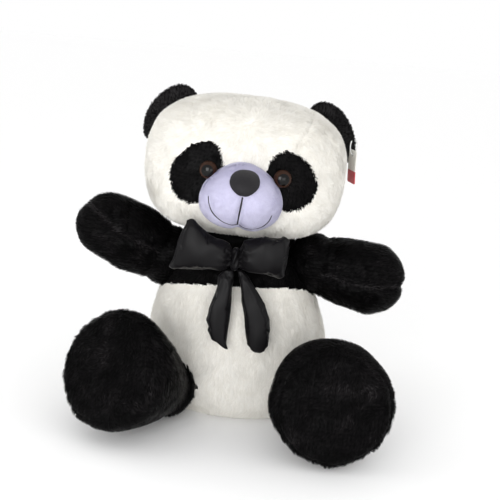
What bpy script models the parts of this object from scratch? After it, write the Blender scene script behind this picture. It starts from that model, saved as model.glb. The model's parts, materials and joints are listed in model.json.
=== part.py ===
"""Sitting plush panda: sewn skins, their stuffing, face, bow and hang tag.

Metres, +Z up.  The panda faces -Y and its own left side is at +X.
"""
import math

import bmesh
import bpy
from mathutils import Matrix, Vector

MM = 0.001

# ---------------------------------------------------------------- fabric and clearances
SKIN = 2.5 * MM              # plush cloth with its brushed pile pressed flat
GAP = 0.4 * MM               # between a skin and what it lies on
WIDE_GAP = 1.2 * MM          # the same on strongly curved cloth
SOCKET_CLEARANCE = 1.6 * MM  # between a round limb root and the socket that holds it
POLE_ANGLE = math.radians(170.0)

# ---------------------------------------------------------------- neck, head
NECK = Vector((-1.0, 0.0, 193.0)) * MM
NECK_RADIUS = 40.0 * MM
HEAD_TILT = math.radians(2.0)
HEAD_CENTRE = Vector((-3.0, -4.0, 266.0)) * MM
HEAD_HALF_WIDTH = 108.0 * MM
HEAD_FRONT = 84.0 * MM
HEAD_BACK = 78.0 * MM
HEAD_UP = 75.0 * MM
HEAD_DOWN = 73.0 * MM
HEAD_SQUARENESS_UP = 2.6
HEAD_SQUARENESS_DOWN = 3.1

# ---------------------------------------------------------------- torso
# height above the seat, half width, reach to the front, reach to the back
TORSO_SECTIONS = (
    (0.0, 78.0, 76.0, 60.0),
    (9.0, 92.0, 87.0, 71.0),
    (30.0, 101.5, 93.0, 78.0),
    (60.0, 104.0, 94.0, 80.0),
    (89.0, 99.5, 91.0, 79.0),
    (115.0, 92.0, 86.0, 76.0),
    (135.0, 86.0, 81.0, 73.0),
    (152.0, 78.0, 75.0, 69.0),
    (165.0, 68.0, 68.0, 62.0),
    (174.0, 57.0, 60.0, 54.0),
    (179.5, 47.0, 50.0, 46.0),
)
TORSO_TOP = 179.5 * MM
TORSO_FOOT_X = 10.0 * MM     # the seated torso leans a little to its own right
TORSO_NECK_X = -1.0 * MM
TORSO_SQUARENESS = 2.2
HEM_SIDE_HEIGHT = 125.0 * MM  # where the black yoke is sewn to the white body
HEM_SLOPE = 0.28              # it rises towards the chest

# ---------------------------------------------------------------- arms
SHOULDER = (Vector((83.0, -8.0, 162.0)) * MM, Vector((-79.0, -8.0, 157.5)) * MM)
ARM_RISE = (math.radians(-9.0), math.radians(24.0))
ARM_FORWARD = math.radians(8.0)
ARM_BALL = 35.0 * MM
ARM_WAIST = (36.5 * MM, 37.5 * MM)
ARM_PAD = (39.0 * MM, 35.0 * MM)
ARM_LENGTH = (100.0 * MM, 104.0 * MM)

# ---------------------------------------------------------------- legs
HIP = (Vector((104.0, -66.0, 53.0)) * MM, Vector((-64.0, -80.0, 32.0)) * MM)
SOLE_CENTRE = (Vector((105.5, -187.0, 63.5)) * MM, Vector((-117.0, -157.0, 76.0)) * MM)
LEG_BALL = 31.0 * MM
FOOT_RADIUS = 59.0 * MM
SOLE_RADIUS = 54.5 * MM
SOLE_THICKNESS = 7.0 * MM

# ---------------------------------------------------------------- face
EYE_X = 38.4 * MM
EYE_Z = 266.0 * MM
EYE_RADIUS = 9.0 * MM
EYE_DOME = 6.5 * MM
EYE_SHANK = 2.0 * MM
WASHER_RADIUS = 8.0 * MM
WASHER_THICKNESS = 1.4 * MM
PATCH_X = 46.5 * MM
PATCH_Z = 262.0 * MM
PATCH_HALF_LENGTH = 34.5 * MM
PATCH_HALF_WIDTH = 26.0 * MM
PATCH_LEAN = math.radians(24.0)
PATCH_THICKNESS = 2.2 * MM
MUZZLE_X = -3.2 * MM
MUZZLE_CROWN_Z = 250.0 * MM   # where it stands furthest out
MUZZLE_WIDE_Z = 238.0 * MM    # where it is widest
MUZZLE_HALF_WIDTH = 41.0 * MM
MUZZLE_UP = 40.0 * MM
MUZZLE_DOWN = 26.0 * MM
MUZZLE_REACH = 40.0 * MM
MUZZLE_CLOTH = 1.6 * MM
NOSE_Z = 263.5 * MM
NOSE_HALF_WIDTH = 14.5 * MM
NOSE_HALF_HEIGHT = 13.0 * MM
NOSE_REACH = 7.0 * MM
NOSE_STANDOFF = 2.8 * MM     # its flat back clears the round of the muzzle
NOSE_RIM = 1.0 * MM
THREAD_RADIUS = 0.8 * MM

# ---------------------------------------------------------------- ears
EAR_OFFSET = Vector((79.0, 26.0, 38.0)) * MM
EAR_ANGLE = math.radians(42.0)
EAR_SHIFT = 8.0 * MM
EAR_HALF_BASE = 34.0 * MM
EAR_HEIGHT = 30.0 * MM
EAR_ROOT = 8.0 * MM
EAR_HALF_THICKNESS = 6.4 * MM
EAR_SLOT = 9.2 * MM

# ---------------------------------------------------------------- bow and tag
BOW_KNOT = Vector((-2.2, -92.0, 179.0)) * MM
KNOT_SIZE = Vector((5.0, 9.0, 12.0)) * MM
WING_CORNER_LOW = (49.7, -64.0)    # across from the knot, in mm
WING_CORNER_HIGH = (50.0, -50.7)
# share of the way out from the knot against height above it, in mm
WING_UNDER = (((0.0, -7.5), (0.24, -13.1), (0.47, -15.3), (0.82, -14.8), (1.0, -14.6)),
              ((0.0, -7.5), (0.12, -13.0), (0.45, -16.9), (0.76, -16.0), (1.0, -15.1)))
WING_OVER = (((0.0, 9.0), (0.1, 20.0), (0.48, 27.6), (0.91, 29.0), (1.0, 27.5)),
             ((0.0, 9.0), (0.1, 16.0), (0.21, 20.0), (0.6, 26.0), (0.81, 33.0), (1.0, 39.3)))
WING_PUFF = 11.0 * MM
TAIL_ROOT = (Vector((3.8, -93.0, 167.0)) * MM, Vector((-7.4, -93.0, 167.0)) * MM)
TAIL_PUFF = 5.5 * MM
TAIL_LEAN_OUT = 8.0 * MM     # the tails lie on the belly, which bulges below the bow
# drop below the knot against both edges across from it, in mm
TAIL_OUTLINE = (((12.5, 3.9, 8.5), (17.0, 4.9, 15.5), (29.0, 6.5, 26.6), (42.0, 7.7, 35.8),
                 (58.0, 11.0, 42.2), (68.5, 13.2, 43.8), (79.0, 16.0, 43.0), (86.0, 18.3, 41.0),
                 (91.0, 22.5, 37.5), (93.5, 27.0, 33.0)),
                ((12.5, -10.0, -1.5), (18.0, -16.0, 0.4), (29.0, -18.7, 1.6), (41.0, -22.0, 2.2),
                 (52.0, -25.0, 2.2), (64.0, -26.0, 2.0), (76.0, -22.7, 1.2), (84.0, -17.0, 0.8),
                 (90.0, -7.5, 0.9), (93.0, -2.5, 0.9)))
TAG_HOLE = Vector((114.5, 2.0, 284.0)) * MM
TAG_TURN = math.radians(14.0)
TAG_WIDTH = 24.0 * MM
TAG_HEIGHT = 36.0 * MM
TAG_THICKNESS = 0.8 * MM
TAG_HOLE_RADIUS = 2.0 * MM
TAG_HOLE_DROP = 5.0 * MM
LOOP_RADIUS = 0.6 * MM
LOOP_HALF_WIDTH = 4.0 * MM
LOOP_HALF_HEIGHT = 9.0 * MM

WHITE_PLUSH = ("white_plush", (0.84, 0.81, 0.74), 0.95)
BLACK_PLUSH = ("black_plush", (0.012, 0.011, 0.012), 0.95)
SOLE_PLUSH = ("sole_plush", (0.02, 0.02, 0.021), 0.9)
STUFFING = ("stuffing", (0.86, 0.86, 0.84), 1.0)
VELOUR = ("muzzle_velour", (0.72, 0.71, 0.84), 0.85)
NOSE_CLOTH = ("nose_cloth", (0.025, 0.024, 0.026), 0.6)
SATIN = ("bow_satin", (0.02, 0.02, 0.022), 0.45)
THREAD = ("thread", (0.015, 0.014, 0.015), 0.7)
EYE_PLASTIC = ("eye_plastic", (0.10, 0.035, 0.012), 0.08)
CLEAR_NYLON = ("nylon", (0.8, 0.8, 0.8), 0.4)
CARD = ("tag_card", (0.9, 0.89, 0.87), 0.6)

SIDES = ("left", "right")


# ================================================================ building blocks
def clear_scene():
    for item in list(bpy.data.objects):
        bpy.data.objects.remove(item, do_unlink=True)


def material(spec):
    name, colour, roughness = spec
    made = bpy.data.materials.get(name)
    if made is None:
        made = bpy.data.materials.new(name)
        made.use_nodes = True
        shader = made.node_tree.nodes["Principled BSDF"]
        shader.inputs["Base Color"].default_value = (*colour, 1.0)
        shader.inputs["Roughness"].default_value = roughness
        shader.inputs["Metallic"].default_value = 0.0
    return made


def add_object(name, verts, faces, spec, origin=None):
    """One closed body, its faces turned outwards, with its origin on its joint."""
    origin = origin or Vector((0.0, 0.0, 0.0))
    mesh = bpy.data.meshes.new(name)
    mesh.from_pydata([tuple(Vector(v) - origin) for v in verts], [], faces)
    work = bmesh.new()
    work.from_mesh(mesh)
    bmesh.ops.recalc_face_normals(work, faces=work.faces)
    if work.calc_volume(signed=True) < 0.0:
        bmesh.ops.reverse_faces(work, faces=work.faces)
    work.to_mesh(mesh)
    work.free()
    mesh.shade_smooth()
    mesh.set_sharp_from_angle(angle=math.radians(40.0))
    made = bpy.data.objects.new(name, mesh)
    made.location = origin
    bpy.context.scene.collection.objects.link(made)
    if spec is not None:
        mesh.materials.append(material(spec))
    return made


def band_faces(first, second):
    """Quads between two rings of vertex numbers."""
    count = len(first)
    return [(first[i], first[(i + 1) % count], second[(i + 1) % count], second[i])
            for i in range(count)]


def stack(rings, start="cap", end="cap"):
    """Skin a stack of rings.  Each end is capped, or 'join' ties it to the other end."""
    verts = []
    numbers = []
    for ring in rings:
        numbers.append(list(range(len(verts), len(verts) + len(ring))))
        verts.extend(ring)
    faces = []
    for below, above in zip(numbers, numbers[1:]):
        faces.extend(band_faces(below, above))
    if start == "join":
        faces.extend(band_faces(numbers[-1], numbers[0]))
        return verts, faces
    for ring, kind in ((numbers[0], start), (numbers[-1], end)):
        if kind == "cap":
            faces.append(tuple(ring))
        else:
            verts.append(kind)
            faces.extend((ring[i], ring[(i + 1) % len(ring)], len(verts) - 1)
                         for i in range(len(ring)))
    return verts, faces


def join_parts(*parts):
    verts = []
    faces = []
    for part_verts, part_faces in parts:
        shift = len(verts)
        verts.extend(part_verts)
        faces.extend(tuple(i + shift for i in face) for face in part_faces)
    return verts, faces


def ball(centre, radius, segments=20, rows=10):
    rings = []
    for row in range(1, rows):
        polar = math.pi * row / rows
        rings.append([centre + radius * Vector((math.sin(polar) * math.cos(a),
                                                math.sin(polar) * math.sin(a),
                                                math.cos(polar)))
                      for a in around(segments)])
    up = Vector((0.0, 0.0, radius))
    return stack(rings, centre + up, centre - up)


def around(segments):
    return [2.0 * math.pi * i / segments for i in range(segments)]


def tube(path, radius, sides=6):
    """A round thread along a path of points."""
    rings = []
    for i, point in enumerate(path):
        ahead = path[min(i + 1, len(path) - 1)] - path[max(i - 1, 0)]
        ahead.normalize()
        across = ahead.cross(Vector((0.0, -1.0, 0.3))).normalized()
        lift = across.cross(ahead)
        rings.append([point + radius * (math.cos(a) * across + math.sin(a) * lift)
                      for a in around(sides)])
    return stack(rings)


def cylinder(base, axis, radius, length, segments=20):
    axis = axis.normalized()
    across = axis.orthogonal().normalized()
    lift = axis.cross(across)
    rings = [[base + axis * reach + radius * (math.cos(a) * across + math.sin(a) * lift)
              for a in around(segments)] for reach in (0.0, length)]
    return stack(rings)


def cutter(name, parts):
    verts, faces = join_parts(*parts)
    made = add_object(name, verts, faces, None)
    made.hide_render = True
    made.display_type = "WIRE"
    return made


def cut(target, tool):
    step = target.modifiers.new(tool.name, "BOOLEAN")
    step.operation = "DIFFERENCE"
    step.solver = "EXACT"
    step.object = tool


def smooth_step(value):
    value = min(max(value, 0.0), 1.0)
    return value * value * (3.0 - 2.0 * value)


def power(value, exponent):
    return math.copysign(abs(value) ** exponent, value)


# ================================================================ torso
def torso_values(height):
    """Half width, front and back reach of the torso at one height, in metres."""
    level = height / MM
    for low, high in zip(TORSO_SECTIONS, TORSO_SECTIONS[1:]):
        if level <= high[0]:
            mix = (level - low[0]) / (high[0] - low[0])
            return [MM * (a + mix * (b - a)) for a, b in zip(low[1:], high[1:])]
    return [MM * value for value in TORSO_SECTIONS[-1][1:]]


def torso_ring(height, inset, segments):
    width, front, back = (value - inset for value in torso_values(height))
    centre_x = TORSO_FOOT_X + (TORSO_NECK_X - TORSO_FOOT_X) * height / TORSO_TOP
    ring = []
    for angle in around(segments):
        across = power(math.cos(angle), 2.0 / TORSO_SQUARENESS)
        along = power(math.sin(angle), 2.0 / TORSO_SQUARENESS)
        depth = back if along > 0.0 else front
        ring.append(Vector((centre_x + width * across, depth * along, height)))
    return ring


def torso_rings(inset, segments, lift=0.0):
    """Rings from the seat to the neck; lift raises the lowest and lowers the highest."""
    levels = [section[0] * MM for section in TORSO_SECTIONS]
    levels[0] += lift
    levels[1] += lift * 0.5
    levels[-1] -= lift
    return [torso_ring(height, inset, segments) for height in levels]


def socket_cutters():
    neck = cutter("cut_neck_socket", [ball(NECK, NECK_RADIUS + SOCKET_CLEARANCE)])
    shoulders = cutter("cut_shoulder_sockets",
                       [ball(at, ARM_BALL + SOCKET_CLEARANCE) for at in SHOULDER])
    hips = cutter("cut_hip_sockets", [ball(at, LEG_BALL + SOCKET_CLEARANCE) for at in HIP])
    return neck, shoulders, hips


def slab(sign):
    """A large block on one side of the sloping hem between body and yoke."""
    reach = 0.4
    normal = Vector((0.0, HEM_SLOPE, 1.0)).normalized()
    on_hem = Vector((0.0, 0.0, HEM_SIDE_HEIGHT)) - normal * (sign * GAP / 2.0)
    along = Vector((0.0, normal.z, -normal.y))
    corners = []
    for depth in (0.0, sign * reach):
        corners.append([on_hem + normal * depth + Vector((x, 0.0, 0.0)) + along * y
                        for x, y in ((-reach, -reach), (reach, -reach),
                                     (reach, reach), (-reach, reach))])
    return stack(corners)


def build_torso(neck, shoulders, hips):
    segments = 26
    shell = torso_rings(0.0, segments) + torso_rings(SKIN, segments, SKIN)[::-1]
    below_hem = cutter("cut_below_hem", [slab(-1.0)])
    above_hem = cutter("cut_above_hem", [slab(1.0)])

    body = add_object("body_skin", *stack(shell), WHITE_PLUSH)
    cut(body, above_hem)
    cut(body, shoulders)
    cut(body, hips)

    yoke = add_object("yoke_skin", *stack(shell), BLACK_PLUSH)
    cut(yoke, below_hem)
    cut(yoke, shoulders)
    cut(yoke, neck)

    inset = SKIN + GAP
    filling = add_object("body_stuffing", *stack(torso_rings(inset, segments, inset)), STUFFING)
    cut(filling, neck)
    cut(filling, shoulders)
    cut(filling, hips)

    add_object("neck_stuffing", *ball(NECK, NECK_RADIUS), STUFFING, NECK)


# ================================================================ head
def tilted(points):
    """Head pieces lean together about the neck."""
    lean = (Matrix.Translation(NECK) @ Matrix.Rotation(HEAD_TILT, 4, "Y")
            @ Matrix.Translation(-NECK))
    return [lean @ Vector(point) for point in points]


def tilt_part(part):
    return tilted(part[0]), part[1]


def head_measure(offset, inset):
    """1 on the head's surface, less inside, for an offset from the head's centre."""
    length = offset.length
    squareness = HEAD_SQUARENESS_UP + (HEAD_SQUARENESS_DOWN - HEAD_SQUARENESS_UP) \
        * smooth_step(-1.6 * offset.z / length)
    depth = HEAD_BACK if offset.y > 0.0 else HEAD_FRONT
    height = HEAD_UP if offset.z > 0.0 else HEAD_DOWN
    total = sum(abs(value / (reach - inset)) ** squareness
                for value, reach in zip(offset, (HEAD_HALF_WIDTH, depth, height)))
    return total ** (1.0 / squareness)


def head_rings(inset, segments, rows):
    rings = []
    for row in range(1, rows + 1):
        polar = POLE_ANGLE * row / rows
        ring = []
        for angle in around(segments):
            way = Vector((math.sin(polar) * math.cos(angle),
                          math.sin(polar) * math.sin(angle), math.cos(polar)))
            ring.append(HEAD_CENTRE + way / head_measure(way, inset))
        rings.append(ring)
    return rings


def head_pole(inset):
    return HEAD_CENTRE + Vector((0.0, 0.0, HEAD_UP - inset))


def face_y(x, z):
    """The front of the head at x, z, found by halving."""
    near = 0.0
    far = -HEAD_FRONT * 1.2
    for _ in range(30):
        middle = (near + far) / 2.0
        offset = Vector((x - HEAD_CENTRE.x, middle, z - HEAD_CENTRE.z))
        if head_measure(offset, 0.0) < 1.0:
            near = middle
        else:
            far = middle
    return HEAD_CENTRE.y + near


def face_frame(x, z):
    """A point on the face and the direction straight out of it."""
    step = 0.5 * MM
    slope_x = (face_y(x + step, z) - face_y(x - step, z)) / (2.0 * step)
    slope_z = (face_y(x, z + step) - face_y(x, z - step)) / (2.0 * step)
    return Vector((x, face_y(x, z), z)), Vector((slope_x, -1.0, slope_z)).normalized()


def ear_frame(sign):
    """Middle of an ear's root line, along it, and out of the head."""
    along = Vector((-sign * math.cos(EAR_ANGLE), 0.0, math.sin(EAR_ANGLE)))
    outward = Vector((sign * math.sin(EAR_ANGLE), 0.0, math.cos(EAR_ANGLE)))
    offset = Vector((sign * EAR_OFFSET.x, EAR_OFFSET.y, EAR_OFFSET.z))
    middle = HEAD_CENTRE + offset + outward * EAR_SHIFT
    return middle, along, outward


def ear_slot(sign):
    """A round-bottomed slot along the ear's root, open outwards."""
    middle, along, outward = ear_frame(sign)
    front = Vector((0.0, -1.0, 0.0))
    bend = [math.pi + math.pi * i / 10 for i in range(11)]
    outline = [(EAR_SLOT * math.cos(a), EAR_SLOT * math.sin(a)) for a in bend]
    outline += [(EAR_SLOT, 3.0 * EAR_SLOT), (-EAR_SLOT, 3.0 * EAR_SLOT)]
    reach = EAR_HALF_BASE + 4.0 * MM
    rings = [[middle + along * end + front * u + outward * v for u, v in outline]
             for end in (-reach, reach)]
    return stack(rings)


def eye_holes(radius, start, length):
    holes = []
    for sign in (1.0, -1.0):
        point, out = face_frame(sign * EYE_X + HEAD_CENTRE.x, EYE_Z)
        holes.append(cylinder(point + out * start, -out, radius, length))
    return holes


def build_head(neck):
    segments = 26
    rows = 11
    pole_out = head_pole(0.0)
    shell_rings = head_rings(0.0, segments, rows)
    lining = head_rings(SKIN, segments, rows)[::-1]
    verts, faces = stack(shell_rings + lining, pole_out, head_pole(SKIN))
    skin = add_object("head_skin", tilted(verts), faces, WHITE_PLUSH, NECK)

    inset = SKIN + WIDE_GAP
    verts, faces = stack(head_rings(inset, segments, rows), head_pole(inset), "cap")
    filling = add_object("head_stuffing", tilted(verts), faces, STUFFING, NECK)

    shank_holes = cutter("cut_eye_shanks",
                         [tilt_part(p) for p in eye_holes(EYE_SHANK + 0.6 * MM,
                                                          8.0 * MM, 30.0 * MM)])
    recess = cutter("cut_eye_recesses",
                    [tilt_part(p) for p in eye_holes(WASHER_RADIUS + 0.8 * MM,
                                                     1.0 * MM, 16.0 * MM)])
    slots = cutter("cut_ear_slots", [tilt_part(ear_slot(s)) for s in (1.0, -1.0)])
    for piece in (skin, filling):
        cut(piece, neck)
        cut(piece, slots)
    cut(skin, shank_holes)
    cut(filling, recess)
    return shank_holes


# ================================================================ face
def disc_rings(rows, segments, place):
    """Rings of a round patch from its edge inwards; place maps (share, angle) to a point."""
    return [[place(1.0 - row / rows, angle) for angle in around(segments)]
            for row in range(rows)]


def patch_point(sign, share, angle, lift):
    length = share * PATCH_HALF_LENGTH * math.sin(angle)
    width = share * PATCH_HALF_WIDTH * math.cos(angle)
    x = PATCH_X + width * math.cos(PATCH_LEAN) - length * math.sin(PATCH_LEAN)
    z = PATCH_Z + width * math.sin(PATCH_LEAN) + length * math.cos(PATCH_LEAN)
    x = HEAD_CENTRE.x + sign * x
    point, out = face_frame(x, z)
    return point + out * lift


def pad(place, rows, segments):
    """A closed pad: place(share, angle, side) gives its top (1) and its bottom (0)."""
    top = disc_rings(rows, segments, lambda share, angle: place(share, angle, 1))
    bottom = disc_rings(rows, segments, lambda share, angle: place(share, angle, 0))
    return stack(bottom[::-1] + top, place(0.0, 0.0, 0), place(0.0, 0.0, 1))


def build_eye_patch(side, sign, shank_holes, muzzle_clear):
    def place(share, angle, top):
        return patch_point(sign, share, angle, GAP + top * PATCH_THICKNESS)

    verts, faces = pad(place, 3, 20)
    patch = add_object(side + "_eye_patch", tilted(verts), faces, BLACK_PLUSH, NECK)
    cut(patch, shank_holes)
    cut(patch, muzzle_clear)


def turned(base, axis, profile, segments):
    """Rings of a turned shape: profile holds (along, radius)."""
    across = axis.orthogonal().normalized()
    lift = axis.cross(across)
    return [[base + axis * along + radius * (math.cos(a) * across + math.sin(a) * lift)
             for a in around(segments)] for along, radius in profile]


def build_eye(side, sign):
    point, out = face_frame(sign * EYE_X + HEAD_CENTRE.x, EYE_Z)
    back = PATCH_THICKNESS + 2.0 * GAP + 0.5 * MM
    shank_end = -(SKIN + 9.0 * MM)
    dome = [(back + 1.0 * MM + EYE_DOME * math.sin(a), EYE_RADIUS * math.cos(a))
            for a in (math.radians(d) for d in (0.0, 22.0, 44.0, 66.0))]
    profile = [(shank_end, EYE_SHANK), (back, EYE_SHANK), (back, EYE_RADIUS)] + dome
    top = point + out * (back + 1.0 * MM + EYE_DOME)
    verts, faces = stack(turned(point, out, profile, 20), "cap", top)
    add_object(side + "_eye", tilted(verts), faces, EYE_PLASTIC, NECK)

    inner = -(SKIN + 2.0 * WIDE_GAP)
    outer = inner - WASHER_THICKNESS
    hole = EYE_SHANK + 0.4 * MM
    profile = [(inner, hole), (inner, WASHER_RADIUS), (outer, WASHER_RADIUS), (outer, hole)]
    verts, faces = stack(turned(point, out, profile, 20), "join")
    add_object(side + "_eye_washer", tilted(verts), faces, CLEAR_NYLON, NECK)


def muzzle_edge(angle):
    """How far the muzzle's edge is from its crown, in one direction across the face."""
    near = 0.0
    far = 2.0 * MUZZLE_HALF_WIDTH
    for _ in range(24):
        middle = (near + far) / 2.0
        wide = middle * math.cos(angle) / MUZZLE_HALF_WIDTH
        rise = MUZZLE_CROWN_Z + middle * math.sin(angle) - MUZZLE_WIDE_Z
        if rise > 0.0:
            measure = abs(wide) ** 1.8 + (rise / MUZZLE_UP) ** 1.8
        else:
            measure = abs(wide) ** 2.3 + (-rise / MUZZLE_DOWN) ** 2.3
        if measure < 1.0:
            near = middle
        else:
            far = middle
    return near


def muzzle_dome(share):
    return (1.0 - min(share, 1.0) ** 2.6) ** 0.55


def muzzle_y(x, z):
    across = x - MUZZLE_X
    rise = z - MUZZLE_CROWN_Z
    share = math.hypot(across, rise) / muzzle_edge(math.atan2(rise, across))
    return face_y(x, z) - GAP - MUZZLE_REACH * muzzle_dome(share)


def muzzle_point(share, angle, shrink, reach):
    """A point of a dome on the face whose edge is drawn in by shrink."""
    radius = (muzzle_edge(angle) - shrink) * share
    x = MUZZLE_X + radius * math.cos(angle)
    z = MUZZLE_CROWN_Z + radius * math.sin(angle)
    return Vector((x, face_y(x, z) - GAP - reach * muzzle_dome(share), z))


def build_muzzle():
    segments = 22
    shares = [1.0, 0.98, 0.92, 0.8, 0.6, 0.3]

    def rings(shrink, reach):
        return [[muzzle_point(s, a, shrink, reach) for a in around(segments)]
                for s in shares]

    outer = rings(0.0, MUZZLE_REACH)
    lining = rings(MUZZLE_CLOTH, MUZZLE_REACH - MUZZLE_CLOTH)
    tip_out = muzzle_point(0.0, 0.0, 0.0, MUZZLE_REACH)
    tip_in = muzzle_point(0.0, 0.0, 0.0, MUZZLE_REACH - MUZZLE_CLOTH)
    verts, faces = stack(outer[::-1] + lining, tip_out, tip_in)
    add_object("muzzle_skin", tilted(verts), faces, VELOUR, NECK)

    inset = MUZZLE_CLOTH + WIDE_GAP

    def place(share, angle, top):
        return muzzle_point(share, angle, inset, top * (MUZZLE_REACH - inset - GAP))

    verts, faces = pad(place, 4, 22)
    add_object("muzzle_stuffing", tilted(verts), faces, STUFFING, NECK)


def nose_point(share, angle, lift):
    across = power(math.cos(angle), 0.75) * (1.0 + 0.16 * math.sin(angle))
    x = MUZZLE_X + 2.0 * MM + NOSE_HALF_WIDTH * share * across
    z = NOSE_Z + NOSE_HALF_HEIGHT * share * power(math.sin(angle), 0.75)
    dome = math.sqrt(1.0 - min(share, 1.0) ** 3.0)
    return Vector((x, muzzle_y(x, z) - NOSE_STANDOFF - lift * (NOSE_RIM + NOSE_REACH * dome), z))


def build_nose():
    verts, faces = pad(nose_point, 4, 18)
    add_object("nose", tilted(verts), faces, NOSE_CLOTH, NECK)


def thread_path(points, steps):
    """A thread laid on the muzzle along a smooth curve through a few x, z points."""
    path = []
    for i in range(steps + 1):
        place = i / steps * (len(points) - 1)
        low = min(int(place), len(points) - 2)
        mix = place - low
        before = points[max(low - 1, 0)]
        first = points[low]
        second = points[low + 1]
        after = points[min(low + 2, len(points) - 1)]
        x, z = (MM * 0.5 * (2 * b + (c - a) * mix + (2 * a - 5 * b + 4 * c - d) * mix ** 2
                            + (3 * b - a - 3 * c + d) * mix ** 3)
                for a, b, c, d in zip(before, first, second, after))
        path.append(Vector((x, muzzle_y(x, z) - GAP - THREAD_RADIUS - 0.5 * MM, z)))
    return path


def build_mouth():
    threads = {
        "right_smile_stitch": ((-33.0, 245.0), (-28.0, 233.0), (-19.0, 224.5), (-7.0, 220.5)),
        "lip_stitch": ((-2.0, 246.5), (-2.3, 235.0), (-2.8, 221.0)),
        "left_smile_stitch": ((2.5, 220.0), (14.0, 221.5), (24.0, 227.5), (30.0, 236.5)),
    }
    for name, points in threads.items():
        verts, faces = tube(thread_path(points, 9), THREAD_RADIUS, 5)
        add_object(name, tilted(verts), faces, THREAD, NECK)


def muzzle_clear_cutter():
    """The muzzle's outline, a little larger, cut out of the eye patches."""
    clear = 0.6 * MM
    outline = []
    for angle in around(32):
        radius = muzzle_edge(angle) + clear
        outline.append((MUZZLE_X + radius * math.cos(angle),
                        MUZZLE_CROWN_Z + radius * math.sin(angle)))
    rings = [[Vector((x, y, z)) for x, z in outline] for y in (-0.16, -0.03)]
    return cutter("cut_round_muzzle", [tilt_part(stack(rings))])


# ================================================================ ears
def ear_profile(reach, inset):
    """Half length and half thickness of an ear at a distance out from its root."""
    top = EAR_HEIGHT - inset
    root = EAR_ROOT - inset
    share = max(reach, 0.0) / top
    half_length = (EAR_HALF_BASE - inset) * math.sqrt(max(1.0 - share ** 2.2, 0.0))
    if reach < 0.0:
        half_length -= 3.0 * MM * (reach / root) ** 2
        return half_length, math.sqrt(max(root ** 2 - reach ** 2, 0.0))
    waist = 5.0 * MM - inset
    puff = EAR_HALF_THICKNESS - inset
    if reach < root:
        mix = smooth_step(reach / root)
        return half_length, root + (waist - root) * mix
    share = (reach - root) / (top - root)
    thick = waist + (puff - waist) * smooth_step(2.5 * share)
    return half_length, thick * math.sqrt(max(1.0 - share ** 3, 0.0))


def ear_rings(sign, inset, segments, levels):
    middle, along, outward = ear_frame(sign)
    front = Vector((0.0, -1.0, 0.0))
    rings = []
    for level in levels:
        low = -(EAR_ROOT - inset) * 0.93
        reach = low + (EAR_HEIGHT - inset - low) * level
        half_length, half_thick = ear_profile(reach, inset)
        rings.append([middle + outward * reach
                      + along * half_length * power(math.cos(a), 0.8)
                      + front * half_thick * power(math.sin(a), 0.8)
                      for a in around(segments)])
    tip = middle + outward * (EAR_HEIGHT - inset)
    return rings, tip


def build_ear(side, sign):
    levels = (0.0, 0.1, 0.2, 0.32, 0.5, 0.7, 0.86, 0.96)
    middle = tilted([ear_frame(sign)[0]])[0]
    outer, tip_out = ear_rings(sign, 0.0, 16, levels)
    lining, tip_in = ear_rings(sign, SKIN * 0.8, 16, levels)
    verts, faces = stack(outer[::-1] + lining, tip_out, tip_in)
    add_object(side + "_ear_cover", tilted(verts), faces, BLACK_PLUSH, middle)
    filling, tip = ear_rings(sign, SKIN * 0.8 + GAP, 16, levels[1::2])
    verts, faces = stack(filling, "cap", tip)
    add_object(side + "_ear_filling", tilted(verts), faces, STUFFING, middle)


# ================================================================ limbs
def limb_rings(root, axis, profile, inset, segments, flat=1.0):
    """Rings of a stuffed tube; flat squeezes it across the horizontal."""
    side = axis.cross(Vector((0.0, 0.0, 1.0))).normalized()
    up = side.cross(axis)
    rings = []
    for reach, radius in profile:
        radius -= inset
        rings.append([root + axis * reach
                      + radius * (flat * math.cos(a) * side + math.sin(a) * up)
                      for a in around(segments)])
    return rings


def root_profile(radius, inset):
    """The round root of a limb, from its open rim to its sewn waist."""
    angles = [math.radians(d) for d in (-50.0, -28.0, -8.0, 12.0, 30.0)]
    return [((radius - inset) * math.sin(a), inset + (radius - inset) * math.cos(a))
            for a in angles]


def arm_profile(index, inset):
    """Reach along the arm against radius, from the shoulder to near the tip."""
    points = root_profile(ARM_BALL, inset)
    pad = ARM_PAD[index]
    pad_reach = ARM_LENGTH[index] - pad
    points.append((pad_reach * 0.55, ARM_WAIST[index]))
    points.append((pad_reach * 0.85, (ARM_WAIST[index] + pad) / 2.0))
    for degrees in (5.0, 25.0, 45.0, 63.0, 79.0):
        angle = math.radians(degrees)
        reach = pad_reach + (pad - inset) * math.sin(angle)
        points.append((reach, inset + (pad - inset) * math.cos(angle)))
    return points


def build_arm(index, sign):
    side = SIDES[index]
    shoulder = SHOULDER[index]
    rise = ARM_RISE[index]
    axis = Vector((sign * math.cos(rise) * math.cos(ARM_FORWARD),
                   -math.cos(rise) * math.sin(ARM_FORWARD), math.sin(rise)))
    flat = 0.92
    lining = 2.0 * MM
    tip = shoulder + axis * ARM_LENGTH[index]
    outer = limb_rings(shoulder, axis, arm_profile(index, 0.0), 0.0, 16, flat)
    inner = limb_rings(shoulder, axis, arm_profile(index, lining), lining, 16, flat)
    verts, faces = stack(outer[::-1] + inner, tip, tip - axis * lining)
    add_object(side + "_arm_skin", verts, faces, BLACK_PLUSH, shoulder)
    inset = lining + GAP
    filling = limb_rings(shoulder, axis, arm_profile(index, inset), inset, 16, flat)
    verts, faces = stack(filling, "cap", tip - axis * inset)
    add_object(side + "_arm_stuffing", verts, faces, STUFFING, shoulder)


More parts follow.
